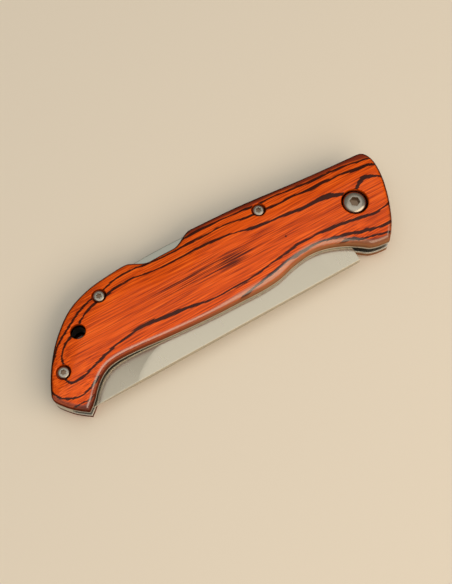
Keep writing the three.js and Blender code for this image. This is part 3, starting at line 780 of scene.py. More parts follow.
# %% Scale drawing
SCALE_THICKNESS = heights("front_scale")[1] - heights("front_scale")[0]
CROWN_WIDTH = 9.0
CROWN_DROP = 1.3
EDGE_RADIUS = 1.4
EDGE_WIDTH = 1.5
FINGER_EDGE_WIDTH = 2.8
FINGER_MIDDLE = (-28.0, -7.0)
FINGER_REACH = 30.0
PIVOT_RECESS = 4.35
PIVOT_SEAT = 1.6
SCREW_RECESS = 2.35
SCREW_SEAT = 2.0
SCREW_BORE = 1.3
FRONT_TOP = (10.2, 14.5)
NOSE = (3.2, -15.9)


def nearest_point(line, place):
    """The number of the point of a line that is nearest to a place."""
    return int(np.argmin(np.linalg.norm(line - place, axis=1)))


from_front_top = np.roll(handle_outline, -nearest_point(handle_outline, FRONT_TOP), axis=0)
falling_edge = from_front_top[: nearest_point(from_front_top, NOSE) + 1]
print("scale thickness", round(SCALE_THICKNESS, 2), "falling edge", len(falling_edge), "points")


def smooth_step(value):
    """From 0 to 1 with soft ends."""
    t = np.clip(value, 0, 1)
    return t * t * (3 - 2 * t)


def edge_width(plan):
    """How far in from the edge the rounding starts. It is widest where the forefinger lies."""
    reach = np.linalg.norm(plan - np.array(FINGER_MIDDLE), axis=1) / FINGER_REACH
    return EDGE_WIDTH + (FINGER_EDGE_WIDTH - EDGE_WIDTH) * smooth_step(1 - reach**2)


# %% Flat scale
FIELD_STEP = 1.15
FIELD_MARGIN = 3.2
EDGE_TURNS = np.radians(np.arange(10, 91, 10))
EDGE_RINGS = (*(EDGE_WIDTH * (1 - np.cos(EDGE_TURNS))), 1.9, 2.3, 2.7)
# At a corner, where a ring meets the next side's, only points stay that keep this share of its inset.
RING_SHARE = 0.985
RIM_RINGS = (0.04, 0.1, 0.18, RIM_RADIUS, 0.6)
RIM_MARGIN = 1.1
WALL_LEVELS = (0.9, 0.45, 0.0)
FACE_LEVEL = -1.0


def scale_solid(pivot_bore):
    """A scale with its face still flat. Points of the face are at FACE_LEVEL."""
    holes = [(np.zeros(2), PIVOT_SIDES, [PIVOT_RECESS, PIVOT_SEAT, pivot_bore])]
    holes += [(at, SIDES, [SCREW_RECESS, SCREW_SEAT, SCREW_BORE]) for at in screw_places.values()]
    holes.append((lanyard_hole, SIDES, [LANYARD_RADIUS]))
    rims = [rim(at, sizes[0], sides) for at, sides, sizes in holes]
    loose = []
    for inset in EDGE_RINGS:
        ring = moved_in(handle_outline, inset)
        loose.append(ring[to_line(ring, handle_outline) > inset * RING_SHARE])
    for at, sides, sizes in holes:
        for gap in RIM_RINGS:
            loose.append(rim(at, sizes[0] + gap, sides))
    even = field(handle_outline.min(axis=0), handle_outline.max(axis=0), FIELD_STEP)
    room = to_line(even, handle_outline) > FIELD_MARGIN
    for at, _, sizes in holes:
        room &= np.linalg.norm(even - at, axis=1) > sizes[0] + RIM_MARGIN
    loose.append(even[room & inside(even, handle_outline)])
    solid = Solid()
    points, faces = joined([handle_outline, *rims], loose)
    ids = solid.ring(points, FACE_LEVEL)
    solid.skin(ids, faces, up=True)
    upper = ids[: len(handle_outline)]
    for level in WALL_LEVELS:
        lower = solid.ring(handle_outline, level)
        solid.wall(upper, lower)
        upper = lower
    base_rings = [lower]
    start = len(handle_outline)
    for (at, sides, sizes), line in zip(holes, rims):
        upper = ids[start : start + sides]
        start += sides
        steps = [(sizes[0], 0.0)]
        if len(sizes) > 1:
            _, seat, bore = sizes
            steps = [(sizes[0], seat), (bore, seat), (bore, 0.0)]
        for radius, level in steps:
            lower = solid.ring(rim(at, radius, sides), level)
            solid.wall(upper, lower, outward=False)
            upper = lower
        base_rings.append(lower)
    base_ids = np.concatenate(base_rings)
    lines = [np.array([solid.points[i][:2] for i in ring]) for ring in base_rings]
    _, base_faces = joined(lines)
    solid.skin(base_ids, base_faces, up=False)
    return solid, [(at, sizes[0]) for at, _, sizes in holes]


# %% [markdown]
# The points of the flat drawing carry what the tree and the wood need to know: how far a point is from
# the falling edges, how far into a rounding, and which way that part of the outline faces. The hand
# rubs the edge that faces the belly, where the lacquer shines and brown is painted on as shade. The
# edge that faces away from the belly is painted dark, as shade.

# %% What the points of a scale store
RUBBED_BEHIND = 0.35
RUBBED_IN_FRONT = -0.3
RUBBED_FADE = 0.5
RUBBED_DEPTH = 0.35
DARK_FROM = 0.3
DARK_FADE = 0.45


def write_attribute(mesh, name, values):
    """Stores one number for each point of a mesh."""
    made = mesh.attributes.new(name, "FLOAT", "POINT")
    made.data.foreach_set("value", np.asarray(values, np.float32))


def outward(plan):
    """The direction in which the nearest part of the outline faces."""
    along = np.roll(handle_outline, -1, axis=0) - np.roll(handle_outline, 1, axis=0)
    normal = np.column_stack([along[:, 1], -along[:, 0]])
    normal /= np.linalg.norm(normal, axis=1)[:, None]
    nearest = [nearest_point(handle_outline, place) for place in plan]
    return normal[nearest]


def flat_scale(name, pivot_bore):
    """The flat drawing of a scale as an object whose points know their distances."""
    solid, rims = scale_solid(pivot_bore)
    made = solid.mesh_object(name)
    plan = np.array(solid.points)[:, :2]
    write_attribute(made.data, "to_side", to_line(plan, falling_edge, closed=False))
    into_edge = 1 - to_line(plan, handle_outline) / edge_width(plan)
    write_attribute(made.data, "into_edge", np.clip(into_edge, 0, 1) * EDGE_RADIUS)
    to_rim = np.min([np.linalg.norm(plan - at, axis=1) - radius for at, radius in rims], axis=0)
    write_attribute(made.data, "into_rim", np.clip(RIM_RADIUS - to_rim, 0, RIM_RADIUS))
    on_face = np.array([point[2] == FACE_LEVEL for point in solid.points])
    write_attribute(made.data, "on_face", on_face)
    rounded = np.clip(into_edge, 0, 1)
    more = np.where(plan[:, 0] < 0, RUBBED_BEHIND, RUBBED_IN_FRONT)
    belly = smooth_step((more - outward(plan)[:, 1]) / RUBBED_FADE)
    # The belly's rounding, where the lacquer is polished and brown is painted on as shade.
    write_attribute(made.data, "burnished", belly * smooth_step(rounded / RUBBED_DEPTH))
    # The rounding of the edges that face away from the belly, where dark is painted on as shade.
    far = (1 - belly) * smooth_step((rounded - DARK_FROM) / DARK_FADE)
    write_attribute(made.data, "far_edge", far * on_face)
    write_attribute(made.data, "turned_down", EDGE_RADIUS * (1 - np.sqrt(1 - rounded**2)))
    return made


# %% [markdown]
# A Geometry Nodes tree starts with its inputs, which are sizes here, and ends with real geometry in
# its material. The two trees of this knife share those ends. One more function runs a tree on a
# draft and takes the result as a plain mesh, because the export reads meshes and not modifiers.

# %% What the trees share


def new_tree(name, sizes, stored):
    """A Geometry Nodes tree with an input for each size, and what it knows, by name.

    That is its inputs, and the stored values that it reads from the points of a mesh."""
    tree = bpy.data.node_groups.new(name, "GeometryNodeTree")
    tree.interface.new_socket("Geometry", in_out="INPUT", socket_type="NodeSocketGeometry")
    for size, value in sizes.items():
        kind = "NodeSocketInt" if isinstance(value, int) else "NodeSocketFloat"
        tree.interface.new_socket(size, in_out="INPUT", socket_type=kind).default_value = value
    tree.interface.new_socket("Material", in_out="INPUT", socket_type="NodeSocketMaterial")
    tree.interface.new_socket("Geometry", in_out="OUTPUT", socket_type="NodeSocketGeometry")
    given = add(tree, "NodeGroupInput").outputs
    known = {socket.name: socket for socket in given if socket.name}
    for value in stored:
        known[value] = add(
            tree, "GeometryNodeInputNamedAttribute", {"Name": value}, data_type="FLOAT"
        )
    return tree, known


def end_tree(tree, known, shape):
    """Ends a tree with real geometry in its material, because the export drops instances."""
    realized = add(tree, "GeometryNodeRealizeInstances", [shape])
    finished = {"Geometry": realized, "Material": known["Material"]}
    add(tree, "NodeGroupOutput", {"Geometry": add(tree, "GeometryNodeSetMaterial", finished)})
    return tree


def grown(draft, tree, name, inputs, sharp):
    """What a tree makes of a draft, as a plain mesh object. The draft is removed."""
    modifier = draft.modifiers.new("tree", "NODES")
    modifier.node_group = tree
    for item in tree.interface.items_tree:
        if item.item_type == "SOCKET" and item.in_out == "INPUT" and item.name in inputs:
            modifier[item.identifier] = inputs[item.name]
    ready = draft.evaluated_get(bpy.context.evaluated_depsgraph_get())
    mesh = bpy.data.meshes.new_from_object(ready)
    mesh.name = name
    mesh.shade_smooth()
    mesh.set_sharp_from_angle(angle=math.radians(sharp))
    bpy.data.objects.remove(draft)
    made = bpy.data.objects.new(name, mesh)
    bpy.context.scene.collection.objects.link(made)
    print(name, len(mesh.polygons), "faces")
    return made


# %% Crown tree
CROWN_SIZES = {
    "Base": 0.0,
    "Thickness": SCALE_THICKNESS,
    "Crown Width": CROWN_WIDTH,
    "Crown Drop": CROWN_DROP,
    "Edge Radius": EDGE_RADIUS,
    "Rim Radius": RIM_RADIUS,
}
# The face falls away as the square of how far a point is into the crown's width.
CROWN_ROWS = [
    ("share", "DIVIDE", "to_side", "Crown Width"),
    ("share", "MINIMUM", "share", 1.0),
    ("rest", "SUBTRACT", 1.0, "share"),
    ("squared", "POWER", "rest", 2.0),
    ("fall", "MULTIPLY", "squared", "Crown Drop"),
    ("height", "SUBTRACT", "Thickness", "fall"),
]
# A quarter circle takes the face down to each edge.
for reach, radius in (("into_edge", "Edge Radius"), ("into_rim", "Rim Radius")):
    CROWN_ROWS += [
        ("whole", "POWER", radius, 2.0),
        ("part", "POWER", reach, 2.0),
        ("left", "SUBTRACT", "whole", "part"),
        ("left", "MAXIMUM", "left", 0.0),
        ("root", "SQRT", "left"),
        ("turn", "SUBTRACT", radius, "root"),
        ("height", "SUBTRACT", "height", "turn"),
    ]
# Points of the face go to that height, the others keep theirs, and all move up by the base.
CROWN_ROWS += [
    ("own", "MULTIPLY", "z", 1 / MM),
    ("chosen", "FLOAT", "on_face", "own", "height"),
    ("below_face", "SUBTRACT", "height", "chosen"),
    ("level", "ADD", "chosen", "Base"),
    ("metres", "MULTIPLY", "level", MM),
]


def crown_tree():
    """A tree that raises a scale's face over its base, from distances that its points carry."""
    stored = ("to_side", "into_edge", "into_rim", "on_face")
    tree, known = new_tree("crowned_face", CROWN_SIZES, stored)
    at = add(tree, "ShaderNodeSeparateXYZ", [add(tree, "GeometryNodeInputPosition")]).outputs
    known["z"] = at["Z"]
    work_out(tree, known, CROWN_ROWS)
    noted = {"Geometry": known["Geometry"], "Name": "below_face", "Value": known["below_face"]}
    raised = {
        "Geometry": add(tree, "GeometryNodeStoreNamedAttribute", noted, data_type="FLOAT"),
        "Position": add(tree, "ShaderNodeCombineXYZ", [at["X"], at["Y"], known["metres"]]),
    }
    return end_tree(tree, known, add(tree, "GeometryNodeSetPosition", raised))


CROWN = crown_tree()


def crowned_scale(node, pivot_bore):
    """A finished scale in the place of a packed one. The hidden side's scale is turned over."""
    low, high = heights(node)
    front = node == "front_scale"
    inputs = {"Base": low if front else 0.0, "Material": wood}
    draft = flat_scale(f"{node}_draft", pivot_bore)
    made = grown(draft, CROWN, f"{node}_wood", inputs, sharp=40)
    if not front:
        for vertex in made.data.vertices:
            vertex.co.z = high * MM - vertex.co.z
        made.data.flip_normals()
    return made


front_scale = crowned_scale("front_scale", pivot_bore=2.3)
rear_scale = crowned_scale("rear_scale", pivot_bore=3.3)

# %% [markdown]
# The liners, the spacer and the lock bar are flat plates, cut to an outline and then tumbled, which
# takes the sharpness off their edges. A bevel modifier could do that, but it stumbles over the small
# corners of the hook. Here a plate is drawn with a few rings at each edge, which follow a quarter
# circle, and one more ring inside them that keeps the flat face flat in its shading.

# %% Tumbled plates
TUMBLED = 0.12
ROUND_STEPS = 3


def plate_solid(outline, holes, low, high, tumbled=TUMBLED):
    """A plate with softened edges. A hole is its middle, its radius and its number of sides."""
    solid = Solid()
    turns = np.linspace(0, math.pi / 2, ROUND_STEPS + 1)
    insets = tumbled * (1 - np.cos(turns))
    drops = tumbled * (1 - np.sin(turns))
    rims = [rim(at, radius, sides) for at, radius, sides in holes]
    inner = moved_in(outline, 3 * tumbled)
    ends = []
    walls = []
    for side in (1, -1):
        face = high if side > 0 else low
        rings = [
            solid.ring(moved_in(outline, inset), face - side * drop)
            for inset, drop in zip(insets, drops)
        ]
        rings.append(solid.ring(inner, face))
        for outside, inside_ring in zip(rings, rings[1:]):
            solid.wall(inside_ring, outside, outward=side > 0)
        hole_rings = [solid.ring(line, face) for line in rims]
        _, faces = joined([inner, *rims])
        ids = np.concatenate([rings[-1], *hole_rings])
        solid.skin(ids, faces, up=side > 0)
        ends.append(rings[0])
        walls.append(hole_rings)
    solid.wall(ends[0], ends[1])
    for upper, lower in zip(*walls):
        solid.wall(upper, lower, outward=False)
    return solid


def plate_piece(node, name):
    """A packed plate again, with a smooth outline, round holes and softened edges."""
    outer, *cuts = top_loops(node)
    holes = []
    for cut in cuts:
        at = (cut.min(axis=0) + cut.max(axis=0)) / 2
        radius = np.linalg.norm(cut - at, axis=1).max()
        holes.append((at, radius, SIDES))
    low, high = heights(node)
    made = plate_solid(smooth_loop(outer), holes, low, high).mesh_object(name, sharp=50)
    plan = plan_of(made.data)
    bored = np.zeros(len(plan), bool)
    for at, radius, _ in holes:
        bored |= np.linalg.norm(plan - at, axis=1) < radius + 0.01
    write_attribute(made.data, "in_bore", bored)
    print(name, len(made.data.polygons), "faces,", len(holes), "holes")
    return made


front_liner = plate_piece("front_liner", "front_liner_plate")
rear_liner = plate_piece("rear_liner", "rear_liner_plate")
lock_bar = plate_piece("lock_bar", "lock_bar_ground")
back_spacer = plate_piece("back_spacer", "back_spacer_ground")

# %% [markdown]
# The blade is a bar that has been ground down on both sides. Its thickness follows from how far a
# point lies above the sharpened edge: a short bevel, the long main grind, and then the flat, which is
# a little thinner than the tang. So the blade is drawn in plan, with extra points along the lines
# where one slope meets the next, and each point takes its height from that rule. The tang in front of
# the plunge line keeps the full thickness.

# %% Blade plan
BLADE_MIDDLE = sum(heights("blade")) / 2
HALF_TANG = (heights("blade")[1] - heights("blade")[0]) / 2
HALF_EDGE = 0.06
HALF_BEVEL = 0.275
BEVEL_WIDTH = 0.8
GRIND_WIDTH = 11.8
HALF_FLAT_LOSS = 0.05
PLUNGE_RUN = 1.3
CHOIL_OFFSET = 0.6
CHOIL_RADIUS = 1.5
CHOIL_POINTS = 9
EDGE_STEP = 0.5
BLADE_OUTLINE_STEP = 0.45

tang_loop = top_loops("blade")[0]
spine = tang_loop[:, 1].min()
plunge = tang_loop[tang_loop[:, 1] > spine + 1, 0].min()
tang_loop = tang_loop[tang_loop[:, 0] > plunge - 0.01]
tang_loop = np.roll(tang_loop, -nearest_point(tang_loop, (plunge, spine)), axis=0)


def sharp_edge():
    """The sharpened edge from the plunge line to the tip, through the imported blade's thin points."""
    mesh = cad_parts["blade"].data
    level = np.array([vertex.co.z for vertex in mesh.vertices]) / MM
    thin = np.abs(level - BLADE_MIDDLE) < HALF_EDGE * 1.3
    line = np.unique(np.round(plan_of(mesh)[thin], 3), axis=0)
    line = line[(line[:, 0] < plunge) & (line[:, 1] > spine + 0.1)]
    return evenly(fair_curve(line[np.argsort(-line[:, 0])]), EDGE_STEP)


edge = sharp_edge()
edge_height = edge[0][1]
choil = np.array([plunge - CHOIL_OFFSET, edge_height + CHOIL_OFFSET])
arc_from = math.atan2(tang_loop[-1][1] - choil[1], tang_loop[-1][0] - choil[0])
arc_to = -math.pi + math.asin(CHOIL_OFFSET / CHOIL_RADIUS)
arc = np.linspace(arc_from, arc_to, CHOIL_POINTS)[1:]
choil_arc = choil + CHOIL_RADIUS * np.column_stack([np.cos(arc), np.sin(arc)])
edge = np.vstack([choil_arc[-1:], edge[edge[:, 0] < choil_arc[-1, 0] - 0.3]])
tip = edge[-1]
blade_corners = np.vstack([tang_loop, choil_arc, edge[1:], [(tip[0], spine)]])
blade_loop = smooth_loop(blade_corners, step=BLADE_OUTLINE_STEP)
whole_edge = np.vstack([[(plunge + 2, edge_height)], edge])
on_edge = to_line(blade_loop, edge, closed=False) < 0.01
print("blade tip", np.round(tip, 2), "plunge", round(plunge, 2), "spine", round(spine, 2))

# %% Blade thickness
NICK_FROM_TIP = 42
NICK_FROM_SPINE = 2.6
NICK_LENGTH = 13
NICK_DEPTH = 0.6
NICK_WIDTH = 1.8
NICK_WALL = 0.1
BLADE_ROUND = 0.09
PIVOT_HOLE = 3.3


def half_thickness(plan):
    """Half of the blade's thickness at each place."""
    up = to_line(plan, whole_edge, closed=False)
    bevel = HALF_EDGE + (HALF_BEVEL - HALF_EDGE) * up / BEVEL_WIDTH
    slope = (HALF_TANG - HALF_FLAT_LOSS - HALF_BEVEL) / (GRIND_WIDTH - BEVEL_WIDTH)
    grind = HALF_BEVEL + slope * (up - BEVEL_WIDTH)
    flat = HALF_TANG - HALF_FLAT_LOSS * (plan[:, 1] - spine) / (edge_height - spine - GRIND_WIDTH)
    ground = np.minimum(np.minimum(bevel, np.maximum(grind, HALF_BEVEL)), flat)
    into_tang = smooth_step((plan[:, 0] - plunge + PLUNGE_RUN) / PLUNGE_RUN)
    half = ground + (HALF_TANG - ground) * into_tang
    short = np.maximum(BLADE_ROUND - to_line(plan, blunt, closed=False), 0)
    return half - BLADE_ROUND + np.sqrt(BLADE_ROUND**2 - short**2)


def nick_depth(plan):
    """How deep the nail nick is cut at each place: the print of a wheel's rim."""
    x = plan[:, 0] - (tip[0] + NICK_FROM_TIP)
    y = np.abs(plan[:, 1] - (spine + NICK_FROM_SPINE))
    radius = (NICK_LENGTH**2 / 4 + NICK_DEPTH**2) / (2 * NICK_DEPTH)
    along = NICK_DEPTH - radius + np.sqrt(np.maximum(radius**2 - x**2, 0))
    across = np.clip((NICK_WIDTH / 2 - y) / NICK_WALL, 0, 1)
    return np.maximum(along, 0) * across


# The blunt outline starts after the tip, runs along the spine and round the tang.
start = int(np.flatnonzero(on_edge)[-1]) + 1
blunt = np.roll(blade_loop, -start, axis=0)[: len(blade_loop) - int(on_edge.sum())]
print("the tang is", round(2 * HALF_TANG, 2), "mm thick, and the bevel", 2 * HALF_BEVEL)

# %% Blade mesh
BLADE_STEP = 1.5
BLADE_RINGS = (0.03, 0.08, BLADE_ROUND, 0.5)
BLADE_RING_SHARE = 0.97
PLUNGE_SHARES = (-1.1, -1.0, -0.85, -0.7, -0.5, -0.3, -0.15, 0, 0.1)
NICK_SHARES = (-1.0, -0.889, -0.4, 0, 0.4, 0.889, 1.0)
NICK_REACH = 0.52
NICK_POINTS = 40
PLUNGE_STEP = 0.6
SLOPE_SHIFTS = (-0.1, 0, 0.1)
LINE_MARGIN = 0.02
HOLE_MARGIN = 0.3
BLADE_MARGIN = 0.9
FREE_MARGIN = 0.5


def above_edge(distance):
    """A line of points at a distance from the edge."""
    along = np.gradient(edge, axis=0)
    inward = np.column_stack([-along[:, 1], along[:, 0]]) / np.linalg.norm(along, axis=1)[:, None]
    return edge + inward * distance


def blade_solid():
    """The whole blade, with the same plan for both faces."""
    lines = []
    for inset in BLADE_RINGS:
        ring = moved_in(blade_loop, inset)
        lines.append(ring[to_line(ring, blade_loop) > inset * BLADE_RING_SHARE])
    for distance in (BEVEL_WIDTH, GRIND_WIDTH):
        for shift in SLOPE_SHIFTS:
            lines.append(above_edge(distance + shift))
    rows = np.arange(spine, edge_height, PLUNGE_STEP)
    for share in PLUNGE_SHARES:
        lines.append(np.column_stack([np.full(len(rows), plunge + share * PLUNGE_RUN), rows]))
    reach = np.linspace(-NICK_REACH, NICK_REACH, NICK_POINTS) * NICK_LENGTH
    nick_x = tip[0] + NICK_FROM_TIP + reach
    for across in NICK_SHARES:
        y = spine + NICK_FROM_SPINE + across * NICK_WIDTH / 2
        lines.append(np.column_stack([nick_x, np.full(len(nick_x), y)]))
    special = np.vstack(lines)
    hole = rim(np.zeros(2), PIVOT_HOLE, PIVOT_SIDES)
    keep = inside(special, blade_loop) & (to_line(special, blade_loop) > LINE_MARGIN)
    keep &= np.linalg.norm(special, axis=1) > PIVOT_HOLE + HOLE_MARGIN
    special = special[keep]
    even = field(blade_loop.min(axis=0), blade_loop.max(axis=0), BLADE_STEP)
    room = inside(even, blade_loop) & (to_line(even, blade_loop) > BLADE_MARGIN)
    room &= np.linalg.norm(even, axis=1) > PIVOT_HOLE + FREE_MARGIN
    nearest = np.array([np.abs(special - point).sum(axis=1).min() for point in even])
    room &= nearest > FREE_MARGIN
    points, faces = joined([blade_loop, hole], [special, even[room]])
    half = half_thickness(points)
    solid = Solid()
    top = solid.ring(points, BLADE_MIDDLE + half)
    bottom = solid.ring(points, BLADE_MIDDLE - half + nick_depth(points))
    solid.skin(top, faces, up=True)
    solid.skin(bottom, faces, up=False)
    count = len(blade_loop)
    solid.wall(top[:count], bottom[:count])
    hole_ids = slice(count, count + PIVOT_SIDES)
    solid.wall(top[hole_ids], bottom[hole_ids], outward=False)
    return solid


blade = blade_solid().mesh_object("blade_ground", sharp=32)
print("blade faces:", len(blade.data.polygons))

# %% [markdown]
# Every screw head here has the same form: a turned button with a socket for the driver, a hexagon in
# the pivot and a six-lobe star in the small ones. They could be modelled one by one and copied. A
# Geometry Nodes tree makes one from its sizes instead and sets a copy on each point it is given, so
# the two kinds differ only in their inputs. The points say which way up each screw goes and how far
# it was turned when it was driven home.

# %% Screw sizes and sums
SCREW_SIZES = {
    "Head Radius": 1.9,
    "Head Height": 1.3,
    "Rim Height": 0.65,
    "Top Radius": 1.15,
    "Lobes": 6,
    "Socket Radius": 1.0,
    "Socket Inner Radius": 0.7,
    "Socket Depth": 0.6,
    "Socket Fillet": 0.08,
    "Shank Radius": 1.0,
    "Shank Length": 4.2,
    "Bore Radius": 0.5,
    "Bore Depth": 0.0,
}
FLAT_TOP = 0.3
SCREW_ROWS = [
    # The head starts as a cylinder of radius 1 whose top is drawn in rings. The inner third of the
    # rings covers the flat top, and the others follow a quarter ellipse.
    ("is_top", "GREATER_THAN", "z", 0.0),
    ("inner", "LINEAR", "out", 0.0, FLAT_TOP, 0.0, "Top Radius"),
    ("angle", "LINEAR", "out", FLAT_TOP, 1.0, 0.0, math.pi / 2),
    ("sine", "SINE", "angle"),
    ("cosine", "COSINE", "angle"),
    ("shoulder", "SUBTRACT", "Head Radius", "Top Radius"),
    ("top_reach", "MULTIPLY_ADD", "shoulder", "sine", "inner"),
    ("dome", "SUBTRACT", "Head Height", "Rim Height"),
    ("top_height", "MULTIPLY_ADD", "dome", "cosine", "Rim Height"),
    ("seat_reach", "MULTIPLY", "Head Radius", "out"),
    ("reach", "FLOAT", "is_top", "seat_reach", "top_reach"),
    ("height", "MULTIPLY", "top_height", "is_top"),
    # The shank runs a little way into the head, so that the two join.
    ("shank_depth", "ADD", "Shank Length", 0.1),
    ("shank_middle", "MULTIPLY_ADD", "shank_depth", -0.5, 0.1),
    # The socket is cut from above, and the bore of the pivot's threaded half from below.
    ("socket_floor", "SUBTRACT", "Head Height", "Socket Depth"),
    ("above_head", "ADD", "Head Height", 1.0),
    ("below_shank", "SUBTRACT", -1.0, "Shank Length"),
    ("bore_end", "SUBTRACT", "Bore Depth", "Shank Length"),
    # Points inside the socket are noted, because shade is painted there.
    ("brim", "ADD", "Socket Radius", 0.02),
    ("brink", "SUBTRACT", "Head Height", 0.02),
    ("is_close", "LESS_THAN", "out", "brim"),
    ("is_sunk", "LESS_THAN", "z", "brink"),
    ("in_socket", "MULTIPLY", "is_close", "is_sunk"),
    ("half_turn", "MULTIPLY", "turned_over", math.pi),
]
print("a screw has", len(SCREW_SIZES), "sizes and", len(SCREW_ROWS), "rows of sums")

# %% Parts of a screw


def screw_head(tree, known, flat):
    """The button, as a cylinder whose points are moved to their reach and height."""
    blank = {"Vertices": 48, "Side Segments": 1, "Fill Segments": 14, "Radius": 1.0, "Depth": 1.0}
    heading = add(tree, "ShaderNodeVectorMath", [flat], operation="NORMALIZE")
    across = add(tree, "ShaderNodeVectorMath", [heading, known["reach"]], operation="SCALE")
    lift = add(tree, "ShaderNodeCombineXYZ", {"Z": known["height"]})
    moved = {
        "Geometry": add(tree, "GeometryNodeMeshCylinder", blank, fill_type="NGON"),
        "Position": add(tree, "ShaderNodeVectorMath", [across, lift], operation="ADD"),
    }
    return add(tree, "GeometryNodeSetPosition", moved)


def screw_shank(tree, known):
    """The plain rod under the head."""
    rod = {"Vertices": 32, "Radius": known["Shank Radius"], "Depth": known["shank_depth"]}
    lowered = {
        "Geometry": add(tree, "GeometryNodeMeshCylinder", rod),
        "Translation": add(tree, "ShaderNodeCombineXYZ", {"Z": known["shank_middle"]}),
    }
    return add(tree, "GeometryNodeTransform", lowered)


def cutter(tree, known, plan, low, high):
    """A prism with a plan, from one height to another, for cutting."""
    ends = {
        "Start": add(tree, "ShaderNodeCombineXYZ", {"Z": known[low]}),
        "End": add(tree, "ShaderNodeCombineXYZ", {"Z": known[high]}),
    }
    path = add(tree, "GeometryNodeCurvePrimitiveLine", ends)
    prism = {"Curve": path, "Profile Curve": plan, "Fill Caps": True}
    return add(tree, "GeometryNodeCurveToMesh", prism)


def socket_plan(tree, known):
    """A star, or with three lobes of even radius a hexagon."""
    sizes = {
        "Points": known["Lobes"],
        "Inner Radius": known["Socket Inner Radius"],
        "Outer Radius": known["Socket Radius"],
    }
    star = add(tree, "GeometryNodeCurveStar", sizes)
    rounded = {"Curve": star, "Count": 3, "Radius": known["Socket Fillet"], "Limit Radius": True}
    return add(tree, "GeometryNodeFilletCurve", rounded, mode="POLY")


# %% Screw tree


def screw_tree():
    """A tree that sets a button-head screw on each point of a mesh. Its sizes are in millimetres."""
    tree, known = new_tree("button_head_screw", SCREW_SIZES, ("turned_over", "driven"))
    at = add(tree, "ShaderNodeSeparateXYZ", [add(tree, "GeometryNodeInputPosition")]).outputs
    flat = add(tree, "ShaderNodeCombineXYZ", [at["X"], at["Y"]])
    known["z"] = at["Z"]
    known["out"] = add(tree, "ShaderNodeVectorMath", [flat], operation="LENGTH")
    work_out(tree, known, SCREW_ROWS)

    body = add(tree, "GeometryNodeMeshBoolean", operation="UNION", solver="EXACT")
    for solid in (screw_head(tree, known, flat), screw_shank(tree, known)):
        fill(body, {"Mesh": solid})
    circle = {"Resolution": 32, "Radius": known["Bore Radius"]}
    bore_plan = add(tree, "GeometryNodeCurvePrimitiveCircle", circle)
    has_bore = add(
        tree, "FunctionNodeCompare", {"A": known["Bore Depth"], "B": 0.0}, operation="GREATER_THAN"
    )
    bore = {"Switch": has_bore, "True": cutter(tree, known, bore_plan, "below_shank", "bore_end")}
    cut = add(
        tree, "GeometryNodeMeshBoolean", {"Mesh 1": body}, operation="DIFFERENCE", solver="EXACT"
    )
    for tool in (
        cutter(tree, known, socket_plan(tree, known), "socket_floor", "above_head"),
        add(tree, "GeometryNodeSwitch", bore, input_type="GEOMETRY"),
    ):
        fill(cut, {"Mesh 2": tool})
    noted = {"Geometry": cut, "Name": "in_socket", "Value": known["in_socket"]}
    placed = {
        "Points": known["Geometry"],
        "Instance": add(tree, "GeometryNodeStoreNamedAttribute", noted, data_type="FLOAT"),
        "Rotation": add(
            tree, "ShaderNodeCombineXYZ", {"X": known["half_turn"], "Z": known["driven"]}
        ),
        "Scale": (MM, MM, MM),
    }
    return end_tree(tree, known, add(tree, "GeometryNodeInstanceOnPoints", placed))


SCREW = screw_tree()
print("nodes in the screw tree:", len(SCREW.nodes))

# %% [markdown]
# The veneers lie flat in the block, so the crowned face cuts through them one after another, and each
# black one shows like a contour line on a map. Each line is a smooth closed curve in millimetres
# here, and every point of the scale stores how far it lies inside or outside. The signed distance
# changes evenly, so it stays exact between the mesh's points, and the material can draw a line of
# any width where it is zero. A line grows bolder where the sander met its veneer at a flat angle.

